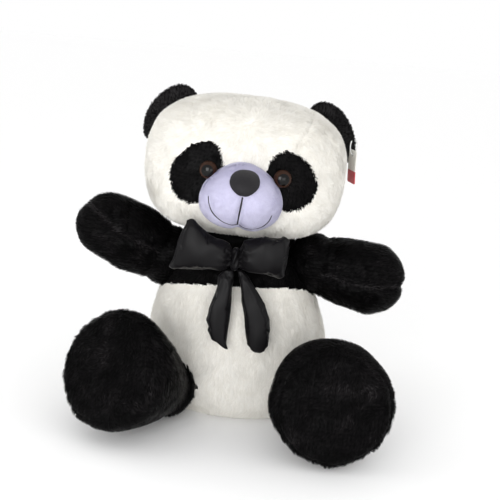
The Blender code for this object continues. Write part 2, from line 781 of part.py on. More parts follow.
def leg_profile(inset, foot_end):
    """Reach along the leg against radius, from the hip to the edge of the sole."""
    points = root_profile(LEG_BALL, inset)
    points.append((foot_end * 0.42, FOOT_RADIUS * 0.72))
    points.append((foot_end * 0.62, FOOT_RADIUS * 0.84))
    points.append((foot_end * 0.80, FOOT_RADIUS * 0.94))
    points.append((foot_end * 0.92, FOOT_RADIUS))
    points.append((foot_end * 0.98, FOOT_RADIUS * 0.985))
    points.append((foot_end, SOLE_RADIUS + 2.8 * MM))
    return points


def build_leg(side, hip, sole_centre):
    axis = (sole_centre - hip).normalized()
    foot_end = (sole_centre - hip).length
    lining = 2.0 * MM
    outer = limb_rings(hip, axis, leg_profile(0.0, foot_end), 0.0, 20)
    inner = limb_rings(hip, axis, leg_profile(lining, foot_end), lining, 20)
    verts, faces = stack(outer + inner[::-1], "join")
    add_object(side + "_leg_skin", verts, faces, BLACK_PLUSH, hip)

    inset = lining + GAP
    bottom = foot_end - SOLE_THICKNESS - GAP
    profile = [p for p in leg_profile(inset, foot_end) if p[0] < bottom - 3.0 * MM]
    profile.append((bottom, FOOT_RADIUS * 0.94))
    filling = limb_rings(hip, axis, profile, inset, 20)
    verts, faces = stack(filling)
    add_object(side + "_leg_stuffing", verts, faces, STUFFING, hip)

    front = foot_end + 1.5 * MM
    rim = [(foot_end - SOLE_THICKNESS + 0.5 * MM, SOLE_RADIUS * 0.97),
           (foot_end - SOLE_THICKNESS * 0.5, SOLE_RADIUS),
           (foot_end - 1.0 * MM, SOLE_RADIUS * 0.985),
           (front - 0.8 * MM, SOLE_RADIUS * 0.90), (front, SOLE_RADIUS * 0.6)]
    rings = limb_rings(hip, axis, rim, 0.0, 20)
    verts, faces = stack(rings, "cap", hip + axis * (front + 0.6 * MM))
    add_object(side + "_sole", verts, faces, SOLE_PLUSH, hip)


# ================================================================ bow
def pillow(rows, columns, place):
    """Two sheets sewn round their edge: place(s, t, side) with s, t from 0 to 1."""
    verts = []
    numbers = {}
    for side in (1.0, -1.0):
        for i in range(rows + 1):
            for j in range(columns + 1):
                edge = i in (0, rows) or j in (0, columns)
                if edge and side < 0.0:
                    numbers[i, j, side] = numbers[i, j, 1.0]
                    continue
                numbers[i, j, side] = len(verts)
                verts.append(place(i / rows, j / columns, 0.0 if edge else side))
    faces = []
    for side in (1.0, -1.0):
        for i in range(rows):
            for j in range(columns):
                faces.append(tuple(numbers[a, b, side] for a, b in
                                   ((i, j), (i + 1, j), (i + 1, j + 1), (i, j + 1))))
    return verts, faces


def puff(s, t):
    """Thickness share of a stuffed pillow away from its sewn edges."""
    return (math.sin(math.pi * s) ** 0.7) * (math.sin(math.pi * t) ** 0.7)


def along(points, share):
    """Straight-line value of a short list of (share, value) pairs."""
    for (low, first), (high, last) in zip(points, points[1:]):
        if share <= high:
            return first + (last - first) * (share - low) / (high - low)
    return points[-1][1]


def build_wing(index, sign):
    """One puffed loop of the bow, from the knot to its outer edge."""
    root_x = sign * (KNOT_SIZE.x + GAP)
    low_x = WING_CORNER_LOW[index] * MM
    high_x = WING_CORNER_HIGH[index] * MM

    def place(s, t, face):
        low = Vector((root_x + (low_x - root_x) * s, 0.0, along(WING_UNDER[index], s) * MM))
        high = Vector((root_x + (high_x - root_x) * s, 0.0, along(WING_OVER[index], s) * MM))
        point = BOW_KNOT + low.lerp(high, t)
        point.x += sign * 4.0 * MM * math.sin(math.pi * t) * s
        point.y -= face * WING_PUFF * puff(0.12 + 0.88 * s, t)
        return point

    verts, faces = pillow(8, 7, place)
    add_object("bow_" + SIDES[index] + "_loop", verts, faces, SATIN, BOW_KNOT)


def build_tail(index):
    """One hanging end of the bow, narrow at the knot and full near its tip."""
    outline = TAIL_OUTLINE[index]
    drops = [row[0] for row in outline]
    rows = 10

    def place(s, t, face):
        drop = drops[0] + (drops[-1] - drops[0]) * s
        low = along([(row[0], row[1]) for row in outline], drop)
        high = along([(row[0], row[2]) for row in outline], drop)
        y = -1.0 * MM - TAIL_LEAN_OUT * s - face * TAIL_PUFF * puff(0.08 + 0.92 * s, t)
        return BOW_KNOT + Vector(((low + (high - low) * t) * MM, y, -drop * MM))

    verts, faces = pillow(rows, 4, place)
    add_object("bow_" + SIDES[index] + "_tail", verts, faces, SATIN, TAIL_ROOT[index])


def build_knot():
    rings = []
    for row in range(1, 8):
        polar = math.pi * row / 8
        rings.append([BOW_KNOT + Vector((
            KNOT_SIZE.x * math.sin(polar) ** 0.7 * math.cos(a),
            KNOT_SIZE.y * math.sin(polar) ** 0.7 * math.sin(a),
            KNOT_SIZE.z * math.cos(polar))) for a in around(16)])
    up = Vector((0.0, 0.0, KNOT_SIZE.z))
    verts, faces = stack(rings, BOW_KNOT + up, BOW_KNOT - up)
    add_object("bow_knot", verts, faces, SATIN, BOW_KNOT)


def build_bow():
    build_knot()
    for index, sign in enumerate((1.0, -1.0)):
        build_wing(index, sign)
        build_tail(index)


# ================================================================ hang tag
def build_tag():
    turn = Matrix.Rotation(TAG_TURN, 3, "Z")
    normal = turn @ Vector((1.0, 0.0, 0.0))
    across = turn @ Vector((0.0, 1.0, 0.0))
    up = Vector((0.0, 0.0, 1.0))
    top = TAG_HOLE_DROP
    half = TAG_WIDTH / 2.0
    outline = [(-half, top), (-half, top - TAG_HEIGHT), (half, top - TAG_HEIGHT), (half, top)]
    rings = [[TAG_HOLE + normal * depth + across * u + up * v for u, v in outline]
             for depth in (-TAG_THICKNESS / 2.0, TAG_THICKNESS / 2.0)]
    card = add_object("tag_card", *stack(rings), CARD, TAG_HOLE)
    punch = cutter("cut_tag_hole", [cylinder(TAG_HOLE - normal * 3.0 * MM, normal,
                                             TAG_HOLE_RADIUS, 6.0 * MM, 16)])
    cut(card, punch)

    steps = 14
    path = []
    for i in range(steps + 1):
        angle = math.radians(-130.0 + 270.0 * i / steps)
        path.append(TAG_HOLE + LOOP_HALF_WIDTH * math.sin(angle) * normal
                    + LOOP_HALF_HEIGHT * (1.0 - math.cos(angle)) * up)
    verts, faces = tube(path, LOOP_RADIUS, 6)
    add_object("tag_loop", verts, faces, CLEAR_NYLON, TAG_HOLE)


# ================================================================ the whole panda
def build():
    clear_scene()
    neck, shoulders, hips = socket_cutters()
    build_torso(neck, shoulders, hips)
    shank_holes = build_head(neck)
    muzzle_clear = muzzle_clear_cutter()
    build_muzzle()
    build_nose()
    build_mouth()
    for index, side in enumerate(SIDES):
        sign = 1.0 if side == "left" else -1.0
        build_eye_patch(side, sign, shank_holes, muzzle_clear)
        build_eye(side, sign)
        build_ear(side, sign)
        build_arm(index, sign)
        build_leg(side, HIP[index], SOLE_CENTRE[index])
    build_bow()
    build_tag()


build()
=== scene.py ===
import json
import math

import bpy
import numpy as np
from mathutils import Matrix, Vector


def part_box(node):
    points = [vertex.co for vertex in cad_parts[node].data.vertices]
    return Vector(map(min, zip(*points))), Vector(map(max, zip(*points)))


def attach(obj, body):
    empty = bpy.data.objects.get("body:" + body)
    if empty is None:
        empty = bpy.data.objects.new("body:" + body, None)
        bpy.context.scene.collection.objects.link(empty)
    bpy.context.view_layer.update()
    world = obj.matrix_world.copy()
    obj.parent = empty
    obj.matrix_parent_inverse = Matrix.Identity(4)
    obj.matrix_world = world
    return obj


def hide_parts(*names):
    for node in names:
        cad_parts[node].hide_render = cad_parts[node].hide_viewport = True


MM = 0.001
SIDES = (("left", 1.0), ("right", -1.0))

# ---------------------------------------------------------------- fur
PILE_DEPTH = 3.0 * MM          # the woven back lies this far under the tips of the pile
LIMB_INSET = 2.0 * MM
HEAD_INSET = 2.0 * MM
# strands on each square millimetre
HEAD_DENSITY = 1.05
PATCH_DENSITY = 1.9
NAP_DENSITY = 1.6
EAR_DENSITY = 1.5
TRUNK_DENSITY = 1.0
COLLAR_DENSITY = 0.8
ARM_DENSITY = 1.0
LEG_DENSITY = 0.9
SOLE_DENSITY = 1.3
# lengths of strands
HEAD_PILE = 5.6 * MM
PATCH_PILE = 3.4 * MM
NAP_PILE = 1.9 * MM
EAR_PILE = 2.6 * MM
BODY_PILE = 5.4 * MM
YOKE_PILE = 4.8 * MM
HEM_PILE = 1.8 * MM
COLLAR_PILE = 5.0 * MM
ARM_PILE = 4.6 * MM
LEG_PILE = 5.0 * MM
SOLE_PILE = 3.6 * MM
STRAND_FLOOR = 0.4 * MM        # strands stop this far above the floor
HEAD_TILT = math.radians(2.0)

# ---------------------------------------------------------------- head, measured from the neck
HEAD_CENTRE = np.array((-2.0, -4.0, 73.0)) * MM
HEAD_HALF_WIDTH = 109.0 * MM
HEAD_FRONT = 84.0 * MM
HEAD_BACK = 78.0 * MM
HEAD_UP = 72.5 * MM
HEAD_DOWN = 76.5 * MM
HEAD_SQUARENESS = (2.6, 3.1)
NECK_RADIUS = 40.0 * MM

# ---------------------------------------------------------------- face, measured from the neck
EYE_X = {"left": 38.4 * MM, "right": 35.8 * MM}
EYE_Z = 73.0 * MM
EYE_RADIUS = 9.2 * MM
EYE_RIM = 3.4 * MM
EYE_DOME = 6.3 * MM
PUPIL_SHARE = 0.64
PATCH_X = 46.5 * MM
PATCH_Z = {1.0: 71.0 * MM, -1.0: 69.0 * MM}
PATCH_HALF_LENGTH = {1.0: 31.5 * MM, -1.0: 34.0 * MM}
PATCH_HALF_WIDTH = 26.0 * MM
PATCH_LEAN = math.radians(24.0)
MUZZLE_X = -2.2 * MM
MUZZLE_CROWN_Z = 57.0 * MM
MUZZLE_WIDE_Z = 45.0 * MM
MUZZLE_HALF_WIDTH = 42.5 * MM
MUZZLE_UP = 40.0 * MM
MUZZLE_DOWN = 30.5 * MM
MUZZLE_REACH = 40.0 * MM
NOSE_Z = 69.8 * MM
NOSE_HALF_WIDTH = 14.9 * MM
NOSE_HALF_HEIGHT = 11.2 * MM
NOSE_REACH = 7.0 * MM
THREAD_RADIUS = 0.8 * MM

# ---------------------------------------------------------------- ears, from the head's centre
EAR_OFFSET = np.array((79.0, 26.0, 38.0)) * MM
EAR_ANGLE = math.radians(42.0)
EAR_SHIFT = {"left": 4.0 * MM, "right": 4.0 * MM}
EAR_SLIDE = -8.0 * MM
EAR_SWEEP = 10.0 * MM
EAR_HALF_BASE = 38.0 * MM
EAR_HEIGHT = 30.0 * MM
EAR_ROOT = 8.0 * MM
EAR_HALF_THICKNESS = 4.2 * MM
EAR_INSET = 2.2 * MM

# ---------------------------------------------------------------- trunk
# share of its height, share of its half width, of its front reach and of its back reach
TORSO_SECTIONS = np.array((
    (0.0, 0.75, 0.81, 0.75),
    (0.05, 0.885, 0.925, 0.887),
    (0.167, 0.976, 0.99, 0.975),
    (0.334, 1.0, 1.0, 1.0),
    (0.496, 0.957, 0.968, 0.987),
    (0.64, 0.885, 0.915, 0.95),
    (0.752, 0.827, 0.862, 0.912),
    (0.847, 0.75, 0.798, 0.862),
    (0.919, 0.654, 0.723, 0.775),
    (0.969, 0.548, 0.638, 0.675),
    (1.0, 0.452, 0.532, 0.575),
))
TORSO_HALF_WIDTH = 104.0 * MM
TORSO_FRONT = 94.0 * MM
TORSO_BACK = 80.0 * MM
TORSO_FOOT_X = 10.0 * MM
TORSO_NECK_X = -1.0 * MM
TORSO_SQUARENESS = 2.2
HEM_SIDE_HEIGHT = 125.0 * MM
HEM_SLOPE = 0.28
HEM_LEAN = 0.045
BELLY_SEAM_X = 6.0 * MM
COLLAR_HALF_SIZE = np.array((60.0, 50.0, 34.0)) * MM
COLLAR_DROP = 6.0 * MM

# ---------------------------------------------------------------- limbs
ARM_RISE = {"left": math.radians(-9.0), "right": math.radians(24.0)}
ARM_FORWARD = math.radians(8.0)
ARM_BALL = 35.0 * MM
ARM_WAIST = {"left": 36.5 * MM, "right": 37.5 * MM}
ARM_PAD = {"left": 39.0 * MM, "right": 35.0 * MM}
ARM_LENGTH = {"left": 100.0 * MM, "right": 104.0 * MM}
ARM_FLATNESS = 0.92
# the arm's front seam: height over its middle line at the shoulder and at the paw
ARM_SEAM = {"left": (-6.0 * MM, 2.0 * MM), "right": (0.0, 12.0 * MM)}
LEG_BALL = 31.0 * MM
FOOT_RADIUS = 59.0 * MM
HALF_SOLE = 2.0 * MM           # half the thickness of a sole panel
SOLE_DOME = 3.2 * MM
SOLE_SEAM = 1.6 * MM
FLOOR_GAP = 0.8 * MM

# ---------------------------------------------------------------- bow
WING_PUFF = 10.0 * MM
TAIL_PUFF = 4.5 * MM
TAIL_LEAN_OUT = 8.0 * MM
WING_CORNER_LOW = {"left": 51.5, "right": -68.0}     # across from the knot, in mm
WING_CORNER_HIGH = {"left": 54.0, "right": -52.0}
# share of the way out from the knot against height above it, in mm
WING_UNDER = {"left": ((0.0, -7.5), (0.24, -13.1), (0.47, -16.0), (0.82, -18.0), (1.0, -18.5)),
              "right": ((0.0, -7.5), (0.12, -13.0), (0.45, -17.5), (0.76, -18.0), (1.0, -19.5))}
WING_OVER = {"left": ((0.0, 9.0), (0.1, 20.0), (0.48, 27.6), (0.91, 29.0), (1.0, 27.5)),
             "right": ((0.0, 9.0), (0.1, 16.0), (0.21, 20.0), (0.5, 26.5), (0.7, 33.0),
                       (1.0, 41.0))}
# drop below the knot against both edges across from it, in mm
TAIL_OUTLINE = {
    "left": ((11.0, 3.4, 7.5), (17.0, 4.9, 15.5), (29.0, 6.5, 26.6), (42.0, 7.7, 35.8),
             (58.0, 11.0, 42.2), (68.5, 13.2, 43.8), (79.0, 16.0, 43.0), (86.0, 18.3, 41.0),
             (91.0, 22.5, 37.5), (93.5, 27.0, 33.0)),
    "right": ((11.0, -9.0, -1.5), (18.0, -16.0, 0.4), (29.0, -18.7, 1.8), (41.0, -22.0, 2.6),
              (52.0, -25.0, 2.6), (64.0, -26.0, 2.2), (76.0, -22.7, 1.2), (84.0, -17.0, 0.8),
              (90.0, -7.5, 0.9), (93.0, -2.5, 0.9))}

# ---------------------------------------------------------------- hang tag, heights from its hole
TAG_TURN = math.radians(14.0)
TAG_HALF_WIDTH = 12.0 * MM
TAG_TOP = 5.0 * MM
TAG_FOOT = -31.0 * MM
TAG_RED_TOP = -17.0 * MM
TAG_CORNER = 2.5 * MM
TAG_HOLE_RADIUS = 2.0 * MM
TAG_THICKNESS = 0.8 * MM
TAG_BOW = 1.2 * MM

# ---------------------------------------------------------------- studio
# name, place, width of the panel in metres, watts
LAMPS = (("key", (-0.45, -1.45, 0.42), 0.7, 9.5), ("fill", (0.5, -1.4, 0.18), 0.8, 4.5))
LAMP_TARGET = Vector((0.0, -0.03, 0.18))
FLOOR_REACH = 12.0
CAMERA_TARGET = Vector((0.012, -0.05, 0.180))
CAMERA_ELEVATION = math.radians(13.0)
CAMERA_ROLL = math.radians(5.0)
CAMERA_DISTANCE = 1.06
CAMERA_LENS = 72.0
CAMERA_SENSOR = 36.0

# ---------------------------------------------------------------- shades
# main, darker, lighter and rare shade of each pile
# the darker white shade also paints the shade in the forehead darts
WHITE_SHADES = ((0.83, 0.81, 0.76), (0.80, 0.778, 0.722), (0.86, 0.845, 0.80), (0.78, 0.75, 0.685))
# the lighter and rare black shades also paint a sheen highlight along the arms' seams
BLACK_SHADES = ((0.0022, 0.0020, 0.0022), (0.0010, 0.0009, 0.0010), (0.0060, 0.0053, 0.0057),
                (0.022, 0.020, 0.021))
EAR_SHADES = ((0.0075, 0.0070, 0.0075), (0.0035, 0.0032, 0.0035), (0.0130, 0.0120, 0.0128),
              (0.024, 0.022, 0.023))

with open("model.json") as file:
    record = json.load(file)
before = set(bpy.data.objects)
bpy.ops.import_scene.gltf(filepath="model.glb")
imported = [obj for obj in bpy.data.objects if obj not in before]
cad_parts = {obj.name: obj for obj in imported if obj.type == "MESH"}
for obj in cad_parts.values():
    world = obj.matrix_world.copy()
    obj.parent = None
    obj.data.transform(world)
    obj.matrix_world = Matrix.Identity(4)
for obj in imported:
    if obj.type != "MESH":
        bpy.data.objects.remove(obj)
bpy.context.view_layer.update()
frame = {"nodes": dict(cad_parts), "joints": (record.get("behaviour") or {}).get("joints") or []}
JOINTS = {joint["name"]: joint for joint in frame["joints"]}


def pivot(name):
    return np.array(JOINTS[name]["pos_m"])


def middle(node):
    low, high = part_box(node)
    return np.array((low + high) / 2.0)


NECK = pivot("neck_turn")
HEAD = NECK + HEAD_CENTRE


# ================================================================ arithmetic
def unit(vectors):
    return vectors / np.maximum(np.linalg.norm(vectors, axis=-1, keepdims=True), 1e-12)


def smooth_step(value):
    value = np.clip(value, 0.0, 1.0)
    return value * value * (3.0 - 2.0 * value)


def power(value, exponent):
    return np.sign(value) * np.abs(value) ** exponent


def noise(points, size, seed):
    """Smooth random values from -1 to 1 whose patches are about this size."""
    side = 32
    table = np.random.default_rng(seed).uniform(-1.0, 1.0, (side, side, side))
    place = points / size
    low = np.floor(place).astype(int)
    mix = smooth_step(place - low)
    total = np.zeros(len(points))
    for corner in np.ndindex(2, 2, 2):
        index = (low + corner) % side
        weight = np.prod(np.where(corner, mix, 1.0 - mix), axis=1)
        total += weight * table[index[:, 0], index[:, 1], index[:, 2]]
    return total


def around(count):
    return np.arange(count) * 2.0 * math.pi / count


# ================================================================ meshes
def shell(rings, start=None, end=None):
    """A skin through a stack of rings, closed by a point at either end."""
    rows, columns = rings.shape[:2]
    points = rings.reshape(-1, 3)
    numbers = np.arange(rows * columns).reshape(rows, columns)
    after = np.roll(numbers, -1, axis=1)
    quads = np.stack([numbers[:-1], after[:-1], after[1:], numbers[1:]], -1).reshape(-1, 4)
    tris = []
    for tip, edge, sign in ((start, numbers[0], -1), (end, numbers[-1], 1)):
        if tip is not None:
            points = np.vstack([points, tip])
            fan = np.stack([edge, np.roll(edge, -1), np.full(columns, len(points) - 1)], -1)
            tris.append(fan[:, ::sign])
    tris = np.vstack(tris) if tris else np.zeros((0, 3), int)
    return outward(points, quads, tris)


def outward(points, quads, tris):
    """The same skin with its faces turned out."""
    a, b, c = corners(points, quads, tris)
    centre = points.mean(axis=0)
    volume = np.einsum("ij,ij->i", a - centre, np.cross(b - centre, c - centre)).sum()
    if volume < 0.0:
        return points, quads[:, ::-1], tris[:, ::-1]
    return points, quads, tris


def triangles(quads, tris):
    return np.vstack([quads[:, [0, 1, 2]], quads[:, [0, 2, 3]], tris])


def corners(points, quads, tris):
    split = triangles(quads, tris)
    return points[split[:, 0]], points[split[:, 1]], points[split[:, 2]]


def point_normals(points, quads, tris):
    split = triangles(quads, tris)
    a, b, c = corners(points, quads, tris)
    facing = np.cross(b - a, c - a)
    total = np.zeros_like(points)
    for corner in range(3):
        np.add.at(total, split[:, corner], facing)
    return unit(total)


def mesh_object(name, points, quads, tris, looks, faces_look=None, normals=None):
    """A shown piece from arrays; looks are its materials, faces_look picks one for each face."""
    mesh = bpy.data.meshes.new(name)
    mesh.vertices.add(len(points))
    mesh.vertices.foreach_set("co", points.astype(np.float32).ravel())
    turns = np.concatenate([quads.ravel(), tris.ravel()]).astype(np.int32)
    starts = np.concatenate([np.arange(len(quads)) * 4, len(quads) * 4 + np.arange(len(tris)) * 3])
    mesh.loops.add(len(turns))
    mesh.loops.foreach_set("vertex_index", turns)
    mesh.polygons.add(len(starts))
    mesh.polygons.foreach_set("loop_start", starts.astype(np.int32))
    if faces_look is not None:
        mesh.polygons.foreach_set("material_index", faces_look.astype(np.int32))
    mesh.update(calc_edges=True)
    mesh.validate()
    mesh.shade_smooth()
    if normals is not None:
        mesh.normals_split_custom_set_from_vertices(normals)
    for look in looks:
        mesh.materials.append(look)
    made = bpy.data.objects.new(name, mesh)
    bpy.context.scene.collection.objects.link(made)
    return made


def keep_faces(points, quads, tris, keep):
    """Only the faces whose middles pass the test."""
    quads = quads[keep(points[quads].mean(axis=1))]
    if len(tris):
        tris = tris[keep(points[tris].mean(axis=1))]
    return points, quads, tris


def used_only(points, quads, tris):
    """Drop the points that no face uses."""
    used = np.unique(np.concatenate([quads.ravel(), tris.ravel()]))
    number = np.zeros(len(points), int)
    number[used] = np.arange(len(used))
    return points[used], number[quads], number[tris]


LEANING_BODIES = ("head", "left_ear", "right_ear")


def show(piece, body, nodes=()):
    """Hang a finished piece on its body and let it stand for its CAD nodes."""
    if body in LEANING_BODIES:
        piece.data.transform(Matrix.Translation(Vector(NECK)) @ Matrix.Rotation(HEAD_TILT, 4, "Y")
                             @ Matrix.Translation(-Vector(NECK)))
    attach(piece, body)
    if nodes:
        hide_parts(*nodes)


def cover(name, body, skin, look, nodes):
    """The stuffed cloth that a pile grows on."""
    show(mesh_object(name, *skin, [look]), body, nodes)


# ================================================================ materials
def shader(name, colour, roughness, **inputs):
    """A Principled material; further inputs are named with underscores for spaces."""
    made = bpy.data.materials.new(name)
    made.use_nodes = True
    node = made.node_tree.nodes["Principled BSDF"]
    node.inputs["Base Color"].default_value = (*colour, 1.0)
    node.inputs["Roughness"].default_value = roughness
    for key, value in inputs.items():
        node.inputs[key.replace("_", " ")].default_value = value
    return made


def grain(look, size, bump, rough_low, rough_high, stretch=(1.0, 1.0, 1.0)):
    """Fine uneven relief and gloss, in patches of about this size."""
    tree = look.node_tree
    node = tree.nodes["Principled BSDF"]
    place = tree.nodes.new("ShaderNodeTexCoord")
    scale = tree.nodes.new("ShaderNodeMapping")
    scale.inputs["Scale"].default_value = stretch
    field = tree.nodes.new("ShaderNodeTexNoise")
    field.inputs["Scale"].default_value = 1.0 / size
    field.inputs["Detail"].default_value = 4.0
    tree.links.new(place.outputs["Object"], scale.inputs["Vector"])
    tree.links.new(scale.outputs["Vector"], field.inputs["Vector"])
    spread = tree.nodes.new("ShaderNodeMapRange")
    spread.inputs["From Min"].default_value = 0.3
    spread.inputs["From Max"].default_value = 0.7
    spread.inputs["To Min"].default_value = rough_low
    spread.inputs["To Max"].default_value = rough_high
    tree.links.new(field.outputs["Fac"], spread.inputs["Value"])
    tree.links.new(spread.outputs["Result"], node.inputs["Roughness"])
    relief = tree.nodes.new("ShaderNodeBump")
    relief.inputs["Strength"].default_value = 1.0
    relief.inputs["Distance"].default_value = bump
    tree.links.new(field.outputs["Fac"], relief.inputs["Height"])
    tree.links.new(relief.outputs["Normal"], node.inputs["Normal"])
    return look


def fur_looks(name, shades, roughness, sheen, sheen_colour, gloss):
    looks = []
    for number, colour in enumerate(shades):
        look = shader(f"{name}_{number}", colour, roughness, Sheen_Weight=sheen,
                      Sheen_Roughness=0.5, Sheen_Tint=(*sheen_colour, 1.0),
                      Specular_IOR_Level=gloss)
        grain(look, 12.0 * MM, 0.0, roughness - 0.12, roughness + 0.12)
        looks.append(look)
    return looks


WHITE_FUR = fur_looks("white_fur", WHITE_SHADES, 0.8, 0.08, (1.0, 0.98, 0.93), 0.15)
BLACK_FUR = fur_looks("black_fur", BLACK_SHADES, 0.42, 0.004, (0.75, 0.72, 0.74), 0.05)
EAR_FUR = fur_looks("ear_fur", EAR_SHADES, 0.5, 0.01, (0.75, 0.72, 0.74), 0.08)
SOLE_FUR = fur_looks("sole_fur", BLACK_SHADES, 0.5, 0.006, (0.75, 0.72, 0.74), 0.045)
WHITE_CLOTH = grain(shader("white_backing", (0.90, 0.88, 0.83), 0.95, Specular_IOR_Level=0.1),
                    1.5 * MM, 0.2 * MM, 0.85, 1.0)
BLACK_CLOTH = grain(shader("black_backing", (0.002, 0.002, 0.002), 0.95, Specular_IOR_Level=0.03),
                    1.5 * MM, 0.2 * MM, 0.85, 1.0)
VELOUR = grain(shader("lavender_velour", (0.53, 0.515, 0.67), 0.85, Sheen_Weight=0.04,
                      Sheen_Roughness=0.4, Sheen_Tint=(0.95, 0.93, 1.0, 1.0),
                      Specular_IOR_Level=0.2),
               1.6 * MM, 0.45 * MM, 0.75, 0.95)
NAP = fur_looks("lavender_nap", ((0.53, 0.515, 0.67), (0.50, 0.485, 0.635), (0.57, 0.555, 0.71),
                                 (0.47, 0.455, 0.60)), 0.85, 0.05, (0.95, 0.93, 1.0), 0.1)
NOSE_CLOTH = grain(shader("nose_cloth", (0.013, 0.012, 0.014), 0.7, Sheen_Weight=0.07,
                          Sheen_Roughness=0.4, Sheen_Tint=(0.6, 0.6, 0.65, 1.0),
                          Specular_IOR_Level=0.22),
                   0.7 * MM, 0.22 * MM, 0.5, 0.8)
THREAD = grain(shader("black_thread", (0.012, 0.011, 0.013), 0.65), 0.5 * MM, 0.05 * MM, 0.5, 0.8)
SATIN = grain(shader("dark_satin", (0.0036, 0.0032, 0.0038), 0.4, Sheen_Weight=0.02,
                     Sheen_Roughness=0.35, Sheen_Tint=(0.8, 0.8, 0.86, 1.0),
                     Specular_IOR_Level=0.13),
              0.6 * MM, 0.05 * MM, 0.34, 0.48, (1.0, 1.0, 5.0))
IRIS = grain(shader("brown_iris", (0.027, 0.011, 0.006), 0.1, Specular_IOR_Level=0.14),
             0.5 * MM, 0.01 * MM, 0.06, 0.16)
PUPIL = shader("black_pupil", (0.002, 0.002, 0.002), 0.05, Specular_IOR_Level=0.22)
NYLON = shader("clear_nylon", (0.75, 0.75, 0.75), 0.3)
CARD = grain(shader("white_card", (0.80, 0.79, 0.74), 0.5), 1.2 * MM, 0.02 * MM, 0.4, 0.6)
CARD_RED = grain(shader("red_print", (0.50, 0.03, 0.045), 0.45), 1.2 * MM, 0.02 * MM, 0.35, 0.55)


# ================================================================ fur
def scatter(skin, per_mm2, rng):
    """Random spots on a skin and its normals there."""
    points, quads, tris = skin
    split = triangles(quads, tris)
    a, b, c = corners(points, quads, tris)
    area = np.linalg.norm(np.cross(b - a, c - a), axis=1) / 2.0
    count = int(area.sum() / MM ** 2 * per_mm2)
    pick = rng.choice(len(split), count, p=area / area.sum())
    u, v = rng.random((2, count, 1))
    over = u + v > 1.0
    u, v = np.where(over, 1.0 - u, u), np.where(over, 1.0 - v, v)
    normals = point_normals(points, quads, tris)[split[pick]]
    spots = a[pick] * (1.0 - u - v) + b[pick] * u + c[pick] * v
    return spots, unit(normals[:, 0] * (1.0 - u - v) + normals[:, 1] * u + normals[:, 2] * v)


def comb(spots, normals, main, swirl, seed):
    """Directions lying in the surface: a main direction turned by brushed swirls."""
    flat = unit(main - np.sum(main * normals, axis=1, keepdims=True) * normals)
    aside = np.cross(normals, flat)
    turn = swirl * (noise(spots, 24.0 * MM, seed) + 0.8 * noise(spots, 8.0 * MM, seed + 1))
    return flat * np.cos(turn)[:, None] + aside * np.sin(turn)[:, None]


def fur(name, spots, normals, flow, looks, rng, length=6.0 * MM, width=0.5 * MM, lean=74.0,
        clump=4.0 * MM, pull=0.45, seed=5, tone=0.0, crush=0.25, floor=None):
    """Tapered, bent strands of brushed pile that gather in clumps."""
    count = len(spots)
    long = (length * rng.uniform(0.75, 1.1, count))[:, None]
    patchy = noise(spots, 7.0 * MM, seed + 3)
    angle = math.radians(lean) + 0.08 * patchy + rng.normal(0.0, 0.04, count)
    angle = np.clip(angle, 0.1, 1.45)[:, None]
    stray = rng.normal(0.0, 0.07, (count, 3))
    rising = unit(normals * np.cos(angle * 0.8) + flow * np.sin(angle * 0.8) + stray * 0.5)
    lying = unit(normals * np.cos(angle * 1.06) + flow * np.sin(angle * 1.06) + stray)
    bend = spots + rising * long * 0.5
    tips = bend + lying * long * 0.5
    cell = np.floor(spots / clump).astype(int)
    shake = np.stack([noise(cell * 7.3 + 0.5 + k * 19.0, 1.0, seed + 11 + k) for k in range(3)], -1)
    heart = (cell + 0.5 + 0.45 * shake) * clump
    gather = heart - spots
    gather -= np.sum(gather * normals, axis=1, keepdims=True) * normals
    tips = tips + gather * pull
    bend = bend + gather * pull * 0.35
    rib = unit(np.cross(tips - spots, normals)) * width / 2.0
    wide = rng.uniform(0.7, 1.25, count)[:, None]
    rows = np.stack([spots - rib * wide, spots + rib * wide, bend + rib * wide * 0.8,
                     bend - rib * wide * 0.8, tips], axis=1)
    if floor is not None:
        rows[..., 2] = np.maximum(rows[..., 2], floor)
    first = np.arange(count)[:, None] * 5
    quads = first + np.array((0, 1, 2, 3))
    tris = first + np.array((3, 2, 4))
    facing = unit(np.cross(rib, tips - spots))
    lift = flow * (crush * patchy)[:, None] + gather / clump * crush
    shading = unit(normals + facing * 0.18 + lift + rng.normal(0.0, 0.04, (count, 3)))
    mood = 0.45 * noise(spots, 6.0 * MM, seed + 7) + rng.normal(0.0, 0.28, count) + tone
    shade = np.array((1, 0, 2, 3))[np.digitize(mood, (-0.30, 0.30, 0.95))]
    return mesh_object(name, rows.reshape(-1, 3), quads, tris, looks,
                       np.concatenate([shade, shade]), np.repeat(shading, 5, axis=0))


# ================================================================ stuffed cloth
SIM_SCALE = 10.0
SIM_FRAMES = 20
SIM_QUALITY = 6
CLOTH_MASS = 0.2
CLOTH_BENDING = 0.4


